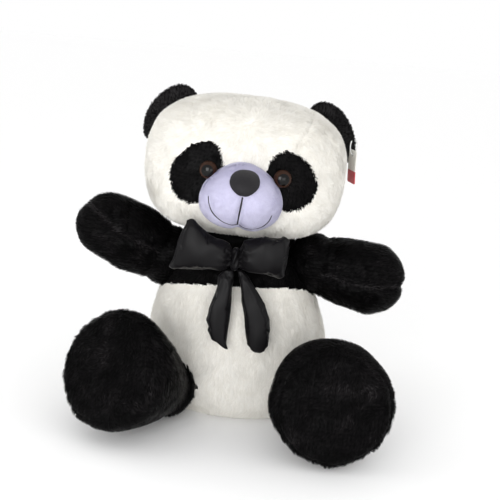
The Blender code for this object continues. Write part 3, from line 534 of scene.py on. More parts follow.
def stuff(skin, held, pressure, slack, cap, stiffness=12.0):
    """Swell a closed cloth with its held points fixed, and cap how far it may move."""
    points, quads, tris = skin
    mesh = bpy.data.meshes.new("stuffing_run")
    faces = [tuple(f) for f in quads.tolist()] + [tuple(f) for f in tris.tolist()]
    mesh.from_pydata([tuple(p) for p in points * SIM_SCALE], [], faces)
    item = bpy.data.objects.new("stuffing_run", mesh)
    bpy.context.scene.collection.objects.link(item)
    group = item.vertex_groups.new(name="held")
    group.add([int(i) for i in np.flatnonzero(held)], 1.0, "REPLACE")
    cloth = item.modifiers.new("cloth", "CLOTH")
    rules = cloth.settings
    rules.quality = SIM_QUALITY
    rules.mass = CLOTH_MASS
    rules.tension_stiffness = stiffness
    rules.compression_stiffness = stiffness
    rules.shear_stiffness = stiffness
    rules.bending_stiffness = CLOTH_BENDING
    rules.use_pressure = True
    rules.uniform_pressure_force = pressure
    rules.shrink_min = -slack
    rules.effector_weights.gravity = 0.0
    rules.vertex_group_mass = "held"
    cloth.collision_settings.use_collision = False
    cloth.collision_settings.use_self_collision = False
    cloth.point_cache.frame_start = 1
    cloth.point_cache.frame_end = SIM_FRAMES
    scene = bpy.context.scene
    for number in range(1, SIM_FRAMES + 1):
        scene.frame_set(number)
    ready = item.evaluated_get(bpy.context.evaluated_depsgraph_get())
    swollen = np.empty(len(points) * 3)
    ready.data.vertices.foreach_get("co", swollen)
    bpy.data.objects.remove(item)
    bpy.data.meshes.remove(mesh)
    scene.frame_set(1)
    move = swollen.reshape(-1, 3) / SIM_SCALE - points
    reach = np.linalg.norm(move, axis=1, keepdims=True)
    return points + move * np.minimum(1.0, cap / np.maximum(reach, 1e-9)), quads, tris


# ================================================================ head
def head_measure(offset, inset=0.0):
    """1 on the head's surface, less inside, for offsets from the head's centre."""
    length = np.maximum(np.linalg.norm(offset, axis=-1), 1e-9)
    low, high = HEAD_SQUARENESS
    squareness = low + (high - low) * smooth_step(-1.6 * offset[..., 2] / length)
    depth = np.where(offset[..., 1] > 0.0, HEAD_BACK, HEAD_FRONT)
    height = np.where(offset[..., 2] > 0.0, HEAD_UP, HEAD_DOWN)
    total = np.abs(offset[..., 0] / (HEAD_HALF_WIDTH - inset)) ** squareness
    total = total + np.abs(offset[..., 1] / (depth - inset)) ** squareness
    total = total + np.abs(offset[..., 2] / (height - inset)) ** squareness
    return total ** (1.0 / squareness)


def head_skin_rings(inset, rows, columns, last=172.0):
    polar = np.radians(np.linspace(last / rows, last, rows))[:, None]
    turn = around(columns)[None, :]
    ways = np.stack([np.sin(polar) * np.cos(turn), np.sin(polar) * np.sin(turn),
                     np.cos(polar) * np.ones_like(turn)], -1)
    return HEAD + ways / head_measure(ways, inset)[..., None]


def face_y(x, z):
    """The front of the head at x, z, found by halving."""
    near = np.zeros_like(x)
    far = np.full_like(x, -HEAD_FRONT * 1.2)
    for _ in range(26):
        half = (near + far) / 2.0
        inside = head_measure(np.stack([x - HEAD[0], half, z - HEAD[2]], -1)) < 1.0
        near = np.where(inside, half, near)
        far = np.where(inside, far, half)
    return HEAD[1] + near


def face_frame(x, z):
    """Points on the face and the directions straight out of it."""
    step = 0.5 * MM
    slope_x = (face_y(x + step, z) - face_y(x - step, z)) / (2.0 * step)
    slope_z = (face_y(x, z + step) - face_y(x, z - step)) / (2.0 * step)
    out = unit(np.stack([slope_x, -np.ones_like(x), slope_z], -1))
    return np.stack([x, face_y(x, z), z], -1), out


def eye_seat(side, sign):
    """Where an eye sits on the face and the direction straight out of it."""
    return face_frame(np.array([HEAD[0] + sign * EYE_X[side]]), np.array([NECK[2] + EYE_Z]))


def patch_share(points, sign):
    """0 in the middle of an eye patch, 1 on its ragged edge."""
    x = sign * (points[:, 0] - HEAD[0]) - PATCH_X
    z = points[:, 2] - NECK[2] - PATCH_Z[sign]
    across = (x * math.cos(PATCH_LEAN) + z * math.sin(PATCH_LEAN)) / PATCH_HALF_WIDTH
    along = (-x * math.sin(PATCH_LEAN) + z * math.cos(PATCH_LEAN)) / PATCH_HALF_LENGTH[sign]
    across = across / (1.0 - 0.16 * along)
    share = np.hypot(across, along) * 1.03 + 0.035 * noise(points, 5.0 * MM, 31)
    return np.where(points[:, 1] < HEAD[1], share, 9.0)


def muzzle_edge(angle):
    """How far the muzzle's edge is from its crown, in one direction across the face."""
    near = np.zeros_like(angle)
    far = np.full_like(angle, 2.0 * MUZZLE_HALF_WIDTH)
    for _ in range(24):
        half = (near + far) / 2.0
        wide = np.abs(half * np.cos(angle) / MUZZLE_HALF_WIDTH)
        rise = MUZZLE_CROWN_Z + half * np.sin(angle) - MUZZLE_WIDE_Z
        over = wide ** 1.8 + np.maximum(rise / MUZZLE_UP, 0.0) ** 1.8
        under = wide ** 2.3 + np.maximum(-rise / MUZZLE_DOWN, 0.0) ** 2.3
        inside = np.where(rise > 0.0, over, under) < 1.0
        near = np.where(inside, half, near)
        far = np.where(inside, far, half)
    below = np.maximum(-np.sin(angle), 0.0)
    cleft = np.exp(-(np.cos(angle) / 0.12) ** 2) * below
    cheeks = np.exp(-((np.abs(np.cos(angle)) - 0.42) / 0.25) ** 2) * below
    return near * (1.0 - 0.07 * cleft + 0.035 * cheeks)


def muzzle_share(x, z):
    across = x - NECK[0] - MUZZLE_X
    rise = z - NECK[2] - MUZZLE_CROWN_Z
    return np.hypot(across, rise) / muzzle_edge(np.arctan2(rise, across))


def hollow(across, rise, path, width):
    """How deep a sewn line presses in: 1 on the line, fading over its width."""
    near = np.full(across.shape, 1.0)
    path = np.array(path) * MM
    for start, end in zip(path, path[1:]):
        run = end - start
        share = ((across - start[0]) * run[0] + (rise - start[1]) * run[1]) / (run @ run)
        share = np.clip(share, 0.0, 1.0)
        gap = np.hypot(across - start[0] - share * run[0], rise - start[1] - share * run[1])
        near = np.minimum(near, gap)
    return np.exp(-(near / width) ** 2)


# the mouth's threads: across and up from the muzzle's crown, in mm
SMILE_RIGHT = ((-32.0, -6.0), (-30.5, -13.0), (-26.0, -22.0), (-17.0, -29.5), (-8.0, -33.0),
               (-1.5, -33.5))
SMILE_LEFT = ((1.0, -33.0), (7.0, -36.0), (15.0, -36.5), (24.0, -33.0), (30.0, -26.0),
              (32.5, -18.0))
LIP = ((1.6, -1.0), (1.0, -10.0), (0.2, -20.0), (-0.6, -33.0))


CREASE = ((38.0, -9.0), (31.0, -13.0), (29.0, -20.0))


def muzzle_y(x, z):
    """The front of the muzzle: two cheeks, a cleft below the nose and the dent of the smile."""
    across = x - NECK[0] - MUZZLE_X
    rise = z - NECK[2] - MUZZLE_CROWN_Z
    share = muzzle_share(x, z)
    dome = (1.0 - np.minimum(share, 1.0) ** 2.6) ** 0.55
    reach = MUZZLE_REACH * dome
    fade = smooth_step((1.0 - share) / 0.25)
    for centre in (-17.0 * MM, 17.0 * MM):
        cheek = ((across - centre) / (13.0 * MM)) ** 2 + ((rise + 14.0 * MM) / (12.0 * MM)) ** 2
        reach = reach + 2.4 * MM * np.exp(-cheek) * fade
    reach = reach - 2.6 * MM * hollow(across, rise, LIP, 3.2 * MM) * fade
    reach = reach - 1.3 * MM * hollow(across, rise, SMILE_RIGHT, 2.6 * MM) * fade
    reach = reach - 1.3 * MM * hollow(across, rise, SMILE_LEFT, 2.6 * MM) * fade
    reach = reach - 1.5 * MM * hollow(across, rise, CREASE, 2.4 * MM) * fade
    return face_y(x, z) - reach


DART_DEPTH = 2.4 * MM
DART_WIDTH = 2.0 * MM
# the sewn darts above the eyes: across and up from the head's centre, in mm
DARTS = {"right": ((-61.0, 60.0), (-58.0, 46.0), (-50.0, 32.0)),
         "left": ((64.0, 62.0), (58.0, 47.0), (49.0, 33.0))}


def dart_share(points):
    """1 on a sewn dart of the forehead, fading to 0 beside it."""
    total = np.zeros(len(points))
    for side, _ in SIDES:
        total = np.maximum(total, hollow(points[:, 0] - HEAD[0], points[:, 2] - HEAD[2],
                                         DARTS[side], DART_WIDTH))
    return np.where(points[:, 1] < HEAD[1], total, 0.0)


def build_head():
    rng = np.random.default_rng(11)
    rows, columns = 120, 180
    rings = head_skin_rings(HEAD_INSET, rows, columns)
    pole = HEAD + np.array((0.0, 0.0, HEAD_UP - HEAD_INSET))
    points, quads, tris = shell(rings, start=pole)
    normals = point_normals(points, quads, tris)
    lumps = 0.9 * MM * noise(points, 36.0 * MM, 3) + 0.45 * MM * noise(points, 11.0 * MM, 4)
    lumps = lumps - DART_DEPTH * dart_share(points)
    points = points + normals * lumps[:, None]
    skin = keep_faces(points, quads, tris,
                      lambda p: np.linalg.norm(p - NECK, axis=1) > NECK_RADIUS + 2.0 * MM)
    skin = used_only(*skin)

    def on_patch(p):
        return np.minimum(patch_share(p, 1.0), patch_share(p, -1.0)) < 1.0

    middles = np.concatenate([skin[0][skin[1]].mean(axis=1), skin[0][skin[2]].mean(axis=1)])
    cloth = mesh_object("head_cloth", *skin, [WHITE_CLOTH, BLACK_CLOTH], on_patch(middles))
    show(cloth, "head", ("head_skin", "head_stuffing"))

    spots, normals = scatter(skin, HEAD_DENSITY, rng)
    on_face = spots[:, 1] < HEAD[1]
    hidden = on_face & (muzzle_share(spots[:, 0], spots[:, 2]) < 0.95)
    hidden |= np.minimum(patch_share(spots, 1.0), patch_share(spots, -1.0)) < 1.05
    hidden |= dart_share(spots) > 0.75
    spots, normals = spots[~hidden], normals[~hidden]
    main = unit(spots - (HEAD + np.array((0.0, -60.0, 30.0)) * MM)) + np.array((0.0, 0.0, -0.7))
    flow = comb(spots, normals, main, 0.95, 21)
    # along the sewn darts the pile takes its darker shade: painted shade in the creases
    piece = fur("head_fur", spots, normals, flow, WHITE_FUR, rng, length=HEAD_PILE, seed=41,
                tone=-0.9 * dart_share(spots) + 0.35 * noise(spots, 3.0 * MM, 44))
    show(piece, "head")

    for side, sign in SIDES:
        spots, normals = scatter(skin, PATCH_DENSITY, rng)
        inside = patch_share(spots, sign) < 1.0
        inside &= muzzle_share(spots[:, 0], spots[:, 2]) > 0.95
        spots, normals = spots[inside], normals[inside]
        away = spots - eye_seat(side, sign)[0]
        clear = np.linalg.norm(away, axis=1) > 6.5 * MM
        spots, normals, away = spots[clear], normals[clear], away[clear]
        flow = comb(spots, normals, 0.5 * unit(away) + np.array((sign * 0.2, 0.0, -1.0)), 0.6, 51)
        piece = fur(side + "_patch_fur", spots + normals * 0.8 * MM, normals, flow, BLACK_FUR, rng,
                    length=PATCH_PILE, seed=61)
        show(piece, "head", (side + "_eye_patch",))


def build_eyes():
    for side, sign in SIDES:
        point, out = (Vector(found[0]) for found in eye_seat(side, sign))
        across = out.orthogonal().normalized()
        lift = out.cross(across)
        steep = [math.radians(d)
                 for d in (0.0, 8.0, 18.0, 28.0, 38.0, 48.0, 56.0, 64.0, 72.0, 81.0)]
        profile = [(EYE_RIM - 1.9 * MM, EYE_RADIUS * 0.9), (EYE_RIM - 1.4 * MM, EYE_RADIUS),
                   (EYE_RIM, EYE_RADIUS)]
        profile += [(EYE_RIM + EYE_DOME * math.sin(a), EYE_RADIUS * 0.985 * math.cos(a))
                    for a in steep]
        turns = around(48)
        rings = np.array([[point + out * h + r * (math.cos(a) * across + math.sin(a) * lift)
                           for a in turns] for h, r in profile])
        crown = np.array(point + out * (EYE_RIM + EYE_DOME + 0.05 * MM))
        points, quads, tris = shell(rings, end=crown)
        reach = np.linalg.norm(np.cross(points[quads].mean(axis=1) - np.array(point),
                                        np.array(out)), axis=1)
        pupil = reach < EYE_RADIUS * PUPIL_SHARE
        eye = mesh_object(side + "_eyeball", points, quads, tris, [IRIS, PUPIL],
                          np.concatenate([pupil, np.ones(len(tris))]))
        show(eye, "head", (side + "_eye",))


def build_muzzle():
    shares = np.concatenate([np.linspace(1.0, 0.9, 9), np.linspace(0.88, 0.03, 46)])
    angle = around(132)
    edge = muzzle_edge(angle)
    x = NECK[0] + MUZZLE_X + shares[:, None] * edge * np.cos(angle)
    z = NECK[2] + MUZZLE_CROWN_Z + shares[:, None] * edge * np.sin(angle)
    rings = np.stack([x, muzzle_y(x.ravel(), z.ravel()).reshape(x.shape), z], -1)
    crown = np.array([[NECK[0] + MUZZLE_X, NECK[2] + MUZZLE_CROWN_Z]])
    tip = np.array((crown[0, 0], muzzle_y(crown[:, 0], crown[:, 1])[0], crown[0, 1]))
    skirt = rings[0] + np.array((0.0, 5.0, 0.0)) * MM
    points, quads, tris = shell(np.concatenate([skirt[None], rings]), end=tip)
    points = points + point_normals(points, quads, tris) \
        * (0.45 * MM * noise(points, 14.0 * MM, 5))[:, None]
    piece = mesh_object("muzzle_velour", points, quads, tris, [VELOUR])
    show(piece, "head", ("muzzle_skin", "muzzle_stuffing"))
    rng = np.random.default_rng(95)
    skin = points, quads, tris
    spots, normals = scatter(skin, NAP_DENSITY, rng)
    across, rise = spots[:, 0] - tip[0], spots[:, 2] - tip[2]
    bare = np.maximum(hollow(across, rise, LIP, 1.6 * MM),
                      np.maximum(hollow(across, rise, SMILE_RIGHT, 1.2 * MM),
                                 hollow(across, rise, SMILE_LEFT, 1.2 * MM)))
    keep = (bare < 0.4) & (muzzle_share(spots[:, 0], spots[:, 2]) < 0.985)
    spots, normals = spots[keep], normals[keep]
    flow = comb(spots, normals, np.tile(np.array((0.0, 0.0, -1.0)), (len(spots), 1)), 1.6, 96)
    nap = fur("muzzle_nap", spots, normals, flow, NAP, rng, length=NAP_PILE, width=0.42 * MM,
              clump=2.0 * MM, seed=97)
    show(nap, "head")


def build_nose():
    angle = around(72)
    shares = np.concatenate([[0.93, 1.0], np.linspace(0.985, 0.04, 22)])
    lifts = np.concatenate([[0.0, 0.25], np.ones(22)])
    low_side = np.maximum(-np.sin(angle), 0.0)
    across = power(np.cos(angle), 0.9) * (1.0 - 0.30 * low_side ** 1.5)
    up = power(np.sin(angle), 0.88) * (1.0 + 0.12 * low_side)
    x = NECK[0] + MUZZLE_X + 2.0 * MM + NOSE_HALF_WIDTH * shares[:, None] * across
    z = NECK[2] + NOSE_Z + NOSE_HALF_HEIGHT * shares[:, None] * up
    dome = np.sqrt(1.0 - np.minimum(shares, 1.0) ** 2.6)
    lift = lifts * (1.5 * MM + NOSE_REACH * dome)
    y = muzzle_y(x.ravel(), z.ravel()).reshape(x.shape) - lift[:, None] - 0.2 * MM
    rings = np.stack([x, y, z], -1)
    points, quads, tris = shell(rings, end=rings[-1].mean(axis=0) - np.array((0.0, 0.1, 0.0)) * MM)
    piece = mesh_object("nose_pad", points, quads, tris, [NOSE_CLOTH])
    show(piece, "head", ("nose",))


def spline(points, steps):
    """Points on a smooth curve through a few points."""
    points = np.array(points)
    path = []
    for i in range(steps + 1):
        place = i / steps * (len(points) - 1)
        low = min(int(place), len(points) - 2)
        mix = place - low
        a, b = points[low], points[low + 1]
        before = points[max(low - 1, 0)]
        after = points[min(low + 2, len(points) - 1)]
        path.append(0.5 * (2 * a + (b - before) * mix + (2 * before - 5 * a + 4 * b - after)
                           * mix ** 2 + (3 * a - before - 3 * b + after) * mix ** 3))
    return np.array(path)


def tube(path, radius, sides=10):
    """Rings of a round thread along a path."""
    ahead = unit(np.gradient(path, axis=0))
    across = unit(np.cross(ahead, np.array((0.0, -1.0, 0.25))))
    lift = np.cross(across, ahead)
    turns = around(sides)[:, None]
    return np.stack([p + radius * (np.cos(turns) * a + np.sin(turns) * b)
                     for p, a, b in zip(path, across, lift)])


def build_mouth():
    threads = {"right_smile_thread": (SMILE_RIGHT, "right_smile_stitch", 0.75),
               "left_smile_thread": (SMILE_LEFT, "left_smile_stitch", 0.55),
               "lip_thread": (LIP, "lip_stitch", 1.05)}
    for name, (points, node, thickness) in threads.items():
        flat = spline(points, 60) * MM
        x = NECK[0] + MUZZLE_X + flat[:, 0]
        z = NECK[2] + MUZZLE_CROWN_Z + flat[:, 1]
        path = np.stack([x, muzzle_y(x, z) - 0.2 * MM, z], -1)
        rings = tube(path, THREAD_RADIUS * thickness)
        points_, quads, tris = shell(rings, start=path[0], end=path[-1])
        piece = mesh_object(name, points_, quads, tris, [THREAD])
        show(piece, "head", (node,))


# ================================================================ ears
def ear_frame(side, sign):
    along = np.array((-sign * math.cos(EAR_ANGLE), 0.0, math.sin(EAR_ANGLE)))
    out = np.array((sign * math.sin(EAR_ANGLE), 0.0, math.cos(EAR_ANGLE)))
    root = HEAD + EAR_OFFSET * np.array((sign, 1.0, 1.0))
    return root + out * EAR_SHIFT[side] + along * EAR_SLIDE, along, out


def build_ears():
    for side, sign in SIDES:
        rng = np.random.default_rng(71 + int(sign))
        inset = EAR_INSET
        root, along, out = ear_frame(side, sign)
        front = np.array((0.0, -1.0, 0.0))
        levels = np.sin(np.linspace(0.0, math.pi / 2.0 * 0.985, 34))
        low = -(EAR_ROOT - inset) * 0.93
        turns = around(64)
        rings = []
        for level in levels:
            reach = low + (EAR_HEIGHT - inset - low) * level
            share = max(reach, 0.0) / (EAR_HEIGHT - inset)
            half = (EAR_HALF_BASE - inset) * math.sqrt(max(1.0 - share ** 2.2, 0.0))
            thick = EAR_HALF_THICKNESS * math.sqrt(max(1.0 - share ** 3.0, 0.0))
            thick += 0.8 * MM * (1.0 - share)
            if reach < 0.0:
                half -= 3.0 * MM * (reach / low) ** 2
                thick = 5.0 * MM * math.sqrt(max(1.0 - (reach / (EAR_ROOT - inset)) ** 2, 0.0))
            cup = 3.0 * MM * share * (1.0 - np.cos(turns) ** 2)
            rings.append(root + out * reach + along * EAR_SWEEP * share
                         + along * half * power(np.cos(turns), 0.8)[:, None]
                         + front * (thick * power(np.sin(turns), 0.8) - cup * 0.4)[:, None])
        rings = np.array(rings)
        tip = root + out * (EAR_HEIGHT - inset) + along * EAR_SWEEP
        points, quads, tris = shell(rings, start=root + out * low, end=tip)
        rise = smooth_step((points - root) @ out / (18.0 * MM))
        points = points + front * (2.6 * MM * rise * noise(points, 17.0 * MM, 76))[:, None]
        skin = points, quads, tris
        cloth = mesh_object(side + "_ear_cloth", *skin, [BLACK_CLOTH])
        show(cloth, side + "_ear", (side + "_ear_cover", side + "_ear_filling"))
        spots, normals = scatter(skin, EAR_DENSITY, rng)
        flow = comb(spots, normals, np.tile(out, (len(spots), 1)) + 0.4 * unit(spots - root),
                    0.7, 81)
        tone = 0.35 + 0.5 * noise(spots, 15.0 * MM, 86)
        piece = fur(side + "_ear_fur", spots, normals, flow, EAR_FUR, rng, length=EAR_PILE,
                    seed=91, tone=tone)
        show(piece, side + "_ear")


# ================================================================ trunk
def torso_rings(heights, top, inset, columns):
    share = heights / top
    width, front, back = (np.interp(share, TORSO_SECTIONS[:, 0], TORSO_SECTIONS[:, k])
                          for k in (1, 2, 3))
    kernel = np.ones(9) / 9.0
    smooth = []
    for values in (width, front, back):
        padded = np.concatenate([np.full(4, values[0]), values, np.full(4, values[-1])])
        smooth.append(np.convolve(padded, kernel, "valid"))
    width, front, back = smooth
    turns = around(columns)
    across = power(np.cos(turns), 2.0 / TORSO_SQUARENESS)
    along = power(np.sin(turns), 2.0 / TORSO_SQUARENESS)
    centre = TORSO_FOOT_X + (TORSO_NECK_X - TORSO_FOOT_X) * share
    x = centre[:, None] + (width * TORSO_HALF_WIDTH - inset)[:, None] * across
    reach = np.where(along > 0.0, (back * TORSO_BACK - inset)[:, None],
                     (front * TORSO_FRONT - inset)[:, None])
    return np.stack([x, reach * along, np.repeat(heights[:, None], columns, 1)], -1)


def outside_sockets(points):
    """Clear of the round roots of the limbs and of the neck."""
    clear = np.linalg.norm(points - NECK, axis=1) > NECK_RADIUS + 1.2 * MM
    for side, _ in SIDES:
        clear &= np.linalg.norm(points - pivot(side + "_arm_lift"), axis=1) > ARM_BALL + 0.6 * MM
        clear &= np.linalg.norm(points - pivot(side + "_leg_spread"), axis=1) > LEG_BALL + 0.6 * MM
    return clear


def build_torso():
    rng = np.random.default_rng(101)
    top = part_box("yoke_skin")[1].z
    heights = np.linspace(0.6 * MM, top - PILE_DEPTH * 0.5, 76)
    rings = torso_rings(heights, top, PILE_DEPTH, 120)
    seat = rings[0].mean(axis=0)
    points, quads, tris = shell(rings, start=seat, end=rings[-1].mean(axis=0))
    normals = point_normals(points, quads, tris)
    soft = smooth_step((points[:, 2] - 6.0 * MM) / (20.0 * MM))
    lumps = 1.5 * MM * noise(points, 40.0 * MM, 6) + 0.7 * MM * noise(points, 13.0 * MM, 7)
    seam = np.exp(-((points[:, 0] - BELLY_SEAM_X) / (2.0 * MM)) ** 2) * (points[:, 1] < 0.0)
    lumps = lumps - 1.0 * MM * seam
    points = points + normals * (lumps * soft)[:, None]
    points, quads, tris = keep_faces(points, quads, tris, outside_sockets)

    def over_hem(p):
        return p[:, 2] - HEM_SIDE_HEIGHT + HEM_SLOPE * p[:, 1] - HEM_LEAN * p[:, 0] \
            + 0.5 * MM * noise(p, 7.0 * MM, 8)

    def above_hem(p):
        return over_hem(p) > 0.0

    whole = (points, quads, tris)
    yoke = used_only(*keep_faces(*whole, above_hem))
    body = used_only(*keep_faces(*whole, lambda p: ~above_hem(p)))
    cover("body_cloth", "torso", body, WHITE_CLOTH, ("body_skin", "body_stuffing"))
    cover("yoke_cloth", "torso", yoke, BLACK_CLOTH, ("yoke_skin",))

    spots, normals = scatter(whole, TRUNK_DENSITY, rng)
    keep = normals[:, 2] > -0.8
    spots, normals = spots[keep], normals[keep]
    upper = above_hem(spots)
    down = np.tile(np.array((0.0, 0.0, -1.0)), (len(spots), 1))
    flow = comb(spots, normals, down, 0.95, 111)
    piece = fur("body_fur", spots[~upper], normals[~upper], flow[~upper], WHITE_FUR, rng,
                length=BODY_PILE, seed=121, tone=0.35 * noise(spots[~upper], 3.0 * MM, 124),
                floor=STRAND_FLOOR)
    show(piece, "torso")
    reach = np.interp(over_hem(spots[upper]), (0.0, 6.0 * MM), (HEM_PILE, YOKE_PILE))
    piece = fur("yoke_fur", spots[upper], normals[upper], flow[upper], BLACK_FUR, rng,
                length=reach, seed=131)
    show(piece, "torso")


def build_neck():
    """A collar of the yoke's black plush closes the space under the chin."""
    rng = np.random.default_rng(141)
    polar = np.radians(np.linspace(6.0, 174.0, 44))[:, None]
    turns = around(90)[None, :]
    wide, deep, tall = COLLAR_HALF_SIZE
    centre = NECK - np.array((0.0, 0.0, COLLAR_DROP))
    rings = centre + np.stack([wide * np.sin(polar) * np.cos(turns),
                               deep * np.sin(polar) * np.sin(turns),
                               tall * np.cos(polar) * np.ones_like(turns)], -1)
    up = np.array((0.0, 0.0, tall))
    skin = shell(rings, start=centre + up, end=centre - up)
    cloth = mesh_object("neck_cloth", *skin, [BLACK_CLOTH])
    show(cloth, "neck", ("neck_stuffing",))
    spots, normals = scatter(skin, COLLAR_DENSITY, rng)
    band = np.abs(spots[:, 2] - centre[2]) < 22.0 * MM
    spots, normals = spots[band], normals[band]
    flow = comb(spots, normals, np.tile(np.array((0.0, 0.0, -1.0)), (len(spots), 1)), 0.6, 151)
    piece = fur("neck_fur", spots, normals, flow, BLACK_FUR, rng, length=COLLAR_PILE, seed=161)
    show(piece, "neck")


# ================================================================ limbs
def limb_frame(axis):
    side = unit(np.cross(axis, np.array((0.0, 0.0, 1.0))))
    return side, np.cross(side, axis)


def limb_rings(root, axis, profile, columns, flat=1.0):
    side, up = limb_frame(axis)
    turns = around(columns)[:, None]
    round_it = flat * np.cos(turns) * side + np.sin(turns) * up
    return np.array([root + axis * reach + radius * round_it for reach, radius in profile])


def resample(points, count):
    """Evenly spaced points on a smooth curve through a profile."""
    dense = spline(points, 40 * len(points))
    length = np.concatenate([[0.0], np.cumsum(np.linalg.norm(np.diff(dense, axis=0), axis=1))])
    even = np.linspace(0.0, length[-1], count)
    return np.stack([np.interp(even, length, dense[:, k]) for k in range(2)], -1)


def arm_profile(side):
    inset = LIMB_INSET
    ball = [((ARM_BALL - inset) * math.sin(a), (ARM_BALL - inset) * math.cos(a))
            for a in (math.radians(d) for d in (-60.0, -40.0, -20.0, 0.0, 20.0))]
    pad, waist = ARM_PAD[side], ARM_WAIST[side]
    pad_reach = ARM_LENGTH[side] - pad
    ball.append((pad_reach * 0.55, waist - inset))
    ball.append((pad_reach * 0.85, (waist + pad) / 2.0 - inset))
    tip = [(pad_reach + (pad - inset) * math.sin(a), (pad - inset) * math.cos(a))
           for a in (math.radians(d) for d in (5.0, 20.0, 36.0, 52.0, 68.0, 82.0))]
    return resample(ball + tip, 64)


def crease(skin, seed, size):
    """Soft stuffing lumps, laid on after the cloth has swollen."""
    points, quads, tris = skin
    normals = point_normals(points, quads, tris)
    lumps = size * noise(points, 28.0 * MM, seed) + 0.45 * size * noise(points, 11.0 * MM, seed + 1)
    return points + normals * lumps[:, None], quads, tris


def seam_share(points, side, shoulder, axis, width):
    """1 on the arm's sewn seam, which shows along its front."""
    across, up = limb_frame(axis)
    reach = (points - shoulder) @ axis / ARM_LENGTH[side]
    low, high = ARM_SEAM[side]
    height = (points - shoulder) @ up - (low + (high - low) * reach) \
        - 1.5 * MM * np.sin(reach * 9.0)
    return np.exp(-(height / width) ** 2) * (points[:, 1] < shoulder[1]) * (reach > 0.1)


def build_arms():
    for side, sign in SIDES:
        rise = ARM_RISE[side]
        shoulder = pivot(side + "_arm_lift")
        axis = np.array((sign * math.cos(rise) * math.cos(ARM_FORWARD),
                         -math.cos(rise) * math.sin(ARM_FORWARD), math.sin(rise)))
        rings = limb_rings(shoulder, axis, arm_profile(side), 80, ARM_FLATNESS)
        skin = shell(rings, end=shoulder + axis * (ARM_LENGTH[side] - LIMB_INSET))
        seam = seam_share(skin[0], side, shoulder, axis, 1.5 * MM)
        held = ((skin[0] - shoulder) @ axis < 12.0 * MM) | (seam > 0.6)
        skin = crease(stuff(skin, held, 5.0, 0.05, 4.0 * MM), 171, 0.9 * MM)
        points, quads, tris = skin
        seam = seam_share(points, side, shoulder, axis, 2.4 * MM)
        normals = point_normals(points, quads, tris)
        skin = (points - normals * (1.2 * MM * seam)[:, None], quads, tris)
        cover(side + "_arm_cloth", side + "_arm", skin, BLACK_CLOTH,
              (side + "_arm_skin", side + "_arm_stuffing"))
        rng = np.random.default_rng(181 + int(sign))
        spots, normals = scatter(skin, ARM_DENSITY, rng)
        # the pile along the front seam takes the lighter and rare black shades: a painted sheen
        # highlight where the pile parts
        painted_seam_sheen = seam_share(spots, side, shoulder, axis, 2.6 * MM)
        ridge = seam_share(spots, side, shoulder, axis, 5.0 * MM)
        flow = comb(spots, normals, np.tile(axis, (len(spots), 1)), 0.9, 191)
        normals = unit(normals + ridge[:, None] * np.array((0.0, -0.2, 0.5)))
        piece = fur(side + "_arm_fur", spots, normals, flow, BLACK_FUR, rng, length=ARM_PILE,
                    seed=196, tone=1.1 * painted_seam_sheen + 0.55 * noise(spots, 15.0 * MM, 198), crush=0.5)
        show(piece, side + "_arm")


# how the stuffing bows the middle of each leg
LEG_ARCH = {"left": np.array((-6.0, 0.0, 6.5)) * MM, "right": np.array((4.0, 0.0, -3.0)) * MM}


def leg_profile(foot_end):
    inset = LIMB_INSET
    ball = [((LEG_BALL - inset) * math.sin(a), (LEG_BALL - inset) * math.cos(a))
            for a in (math.radians(d) for d in (-60.0, -40.0, -20.0, 0.0, 18.0))]
    rest = ((0.42, 0.72), (0.62, 0.86), (0.80, 0.97), (0.92, 1.0), (0.975, 0.985))
    ball += [(foot_end * share, FOOT_RADIUS * radius - inset) for share, radius in rest]
    ball.append((foot_end + 0.5 * MM, FOOT_RADIUS * 0.955 - inset))
    return resample(ball, 72)


def build_legs():
    for side, sign in SIDES:
        hip = pivot(side + "_leg_spread")
        sole = middle(side + "_sole")
        axis = unit(sole - hip)
        foot_end = np.linalg.norm(sole - hip) + HALF_SOLE
        rings = limb_rings(hip, axis, leg_profile(foot_end), 96)
        reach = (rings - hip) @ axis / foot_end
        arch = np.sin(math.pi * np.clip(reach, 0.0, 1.0))[..., None]
        rings = rings + arch * LEG_ARCH[side]
        edge = rings[-1]
        centre = edge.mean(axis=0)
        shares = np.linspace(0.965, 0.03, 34)
        dome = [centre + (edge - centre) * share + axis * SOLE_DOME * (1.0 - share ** 2) ** 0.6
                for share in shares]
        whole = np.concatenate([rings, np.array(dome)])
        skin = shell(whole, end=centre + axis * SOLE_DOME)
        split = len(rings)
        count = len(edge)
        held = np.zeros(len(skin[0]), bool)
        held[:12 * count] = True
        held[(split - 1) * count:split * count] = True
        points, quads, tris = crease(stuff(skin, held, 3.0, 0.04, 3.5 * MM), 201, 1.1 * MM)
        normals = point_normals(points, quads, tris)
        row = np.minimum(np.arange(len(points)) // count, split + len(dome))
        groove = np.exp(-((row - split + 1.0) / 1.1) ** 2) * SOLE_SEAM
        points = points - normals * groove[:, None]
        points[:, 2] = np.maximum(points[:, 2], FLOOR_GAP)
        in_leg = quads.max(axis=1) < split * count
        parts = (("_leg", used_only(points, quads[in_leg], tris[:0]), "black_plush", BLACK_FUR,
                  (side + "_leg_skin", side + "_leg_stuffing"), LEG_PILE, LEG_DENSITY),
                 ("_sole", used_only(points, quads[~in_leg], tris), "sole_plush", SOLE_FUR,
                  (side + "_sole",), SOLE_PILE, SOLE_DENSITY))
        rng = np.random.default_rng(211 + int(sign))
        for part, skin, slot, looks, nodes, length, density in parts:
            cover(side + part + "_cloth", side + "_leg", skin, BLACK_CLOTH, nodes)
            spots, normals = scatter(skin, density, rng)
            main = -0.4 * axis + np.array((0.0, 0.0, -1.0))
            flow = comb(spots, normals, np.tile(main, (len(spots), 1)), 1.3, 221)
            tone = 0.6 * noise(spots, 17.0 * MM, 228) + 0.1
            piece = fur(side + part + "_fur", spots, normals, flow, looks, rng, length=length,
                        seed=226, tone=tone, floor=STRAND_FLOOR, crush=0.5)
            show(piece, side + "_leg")


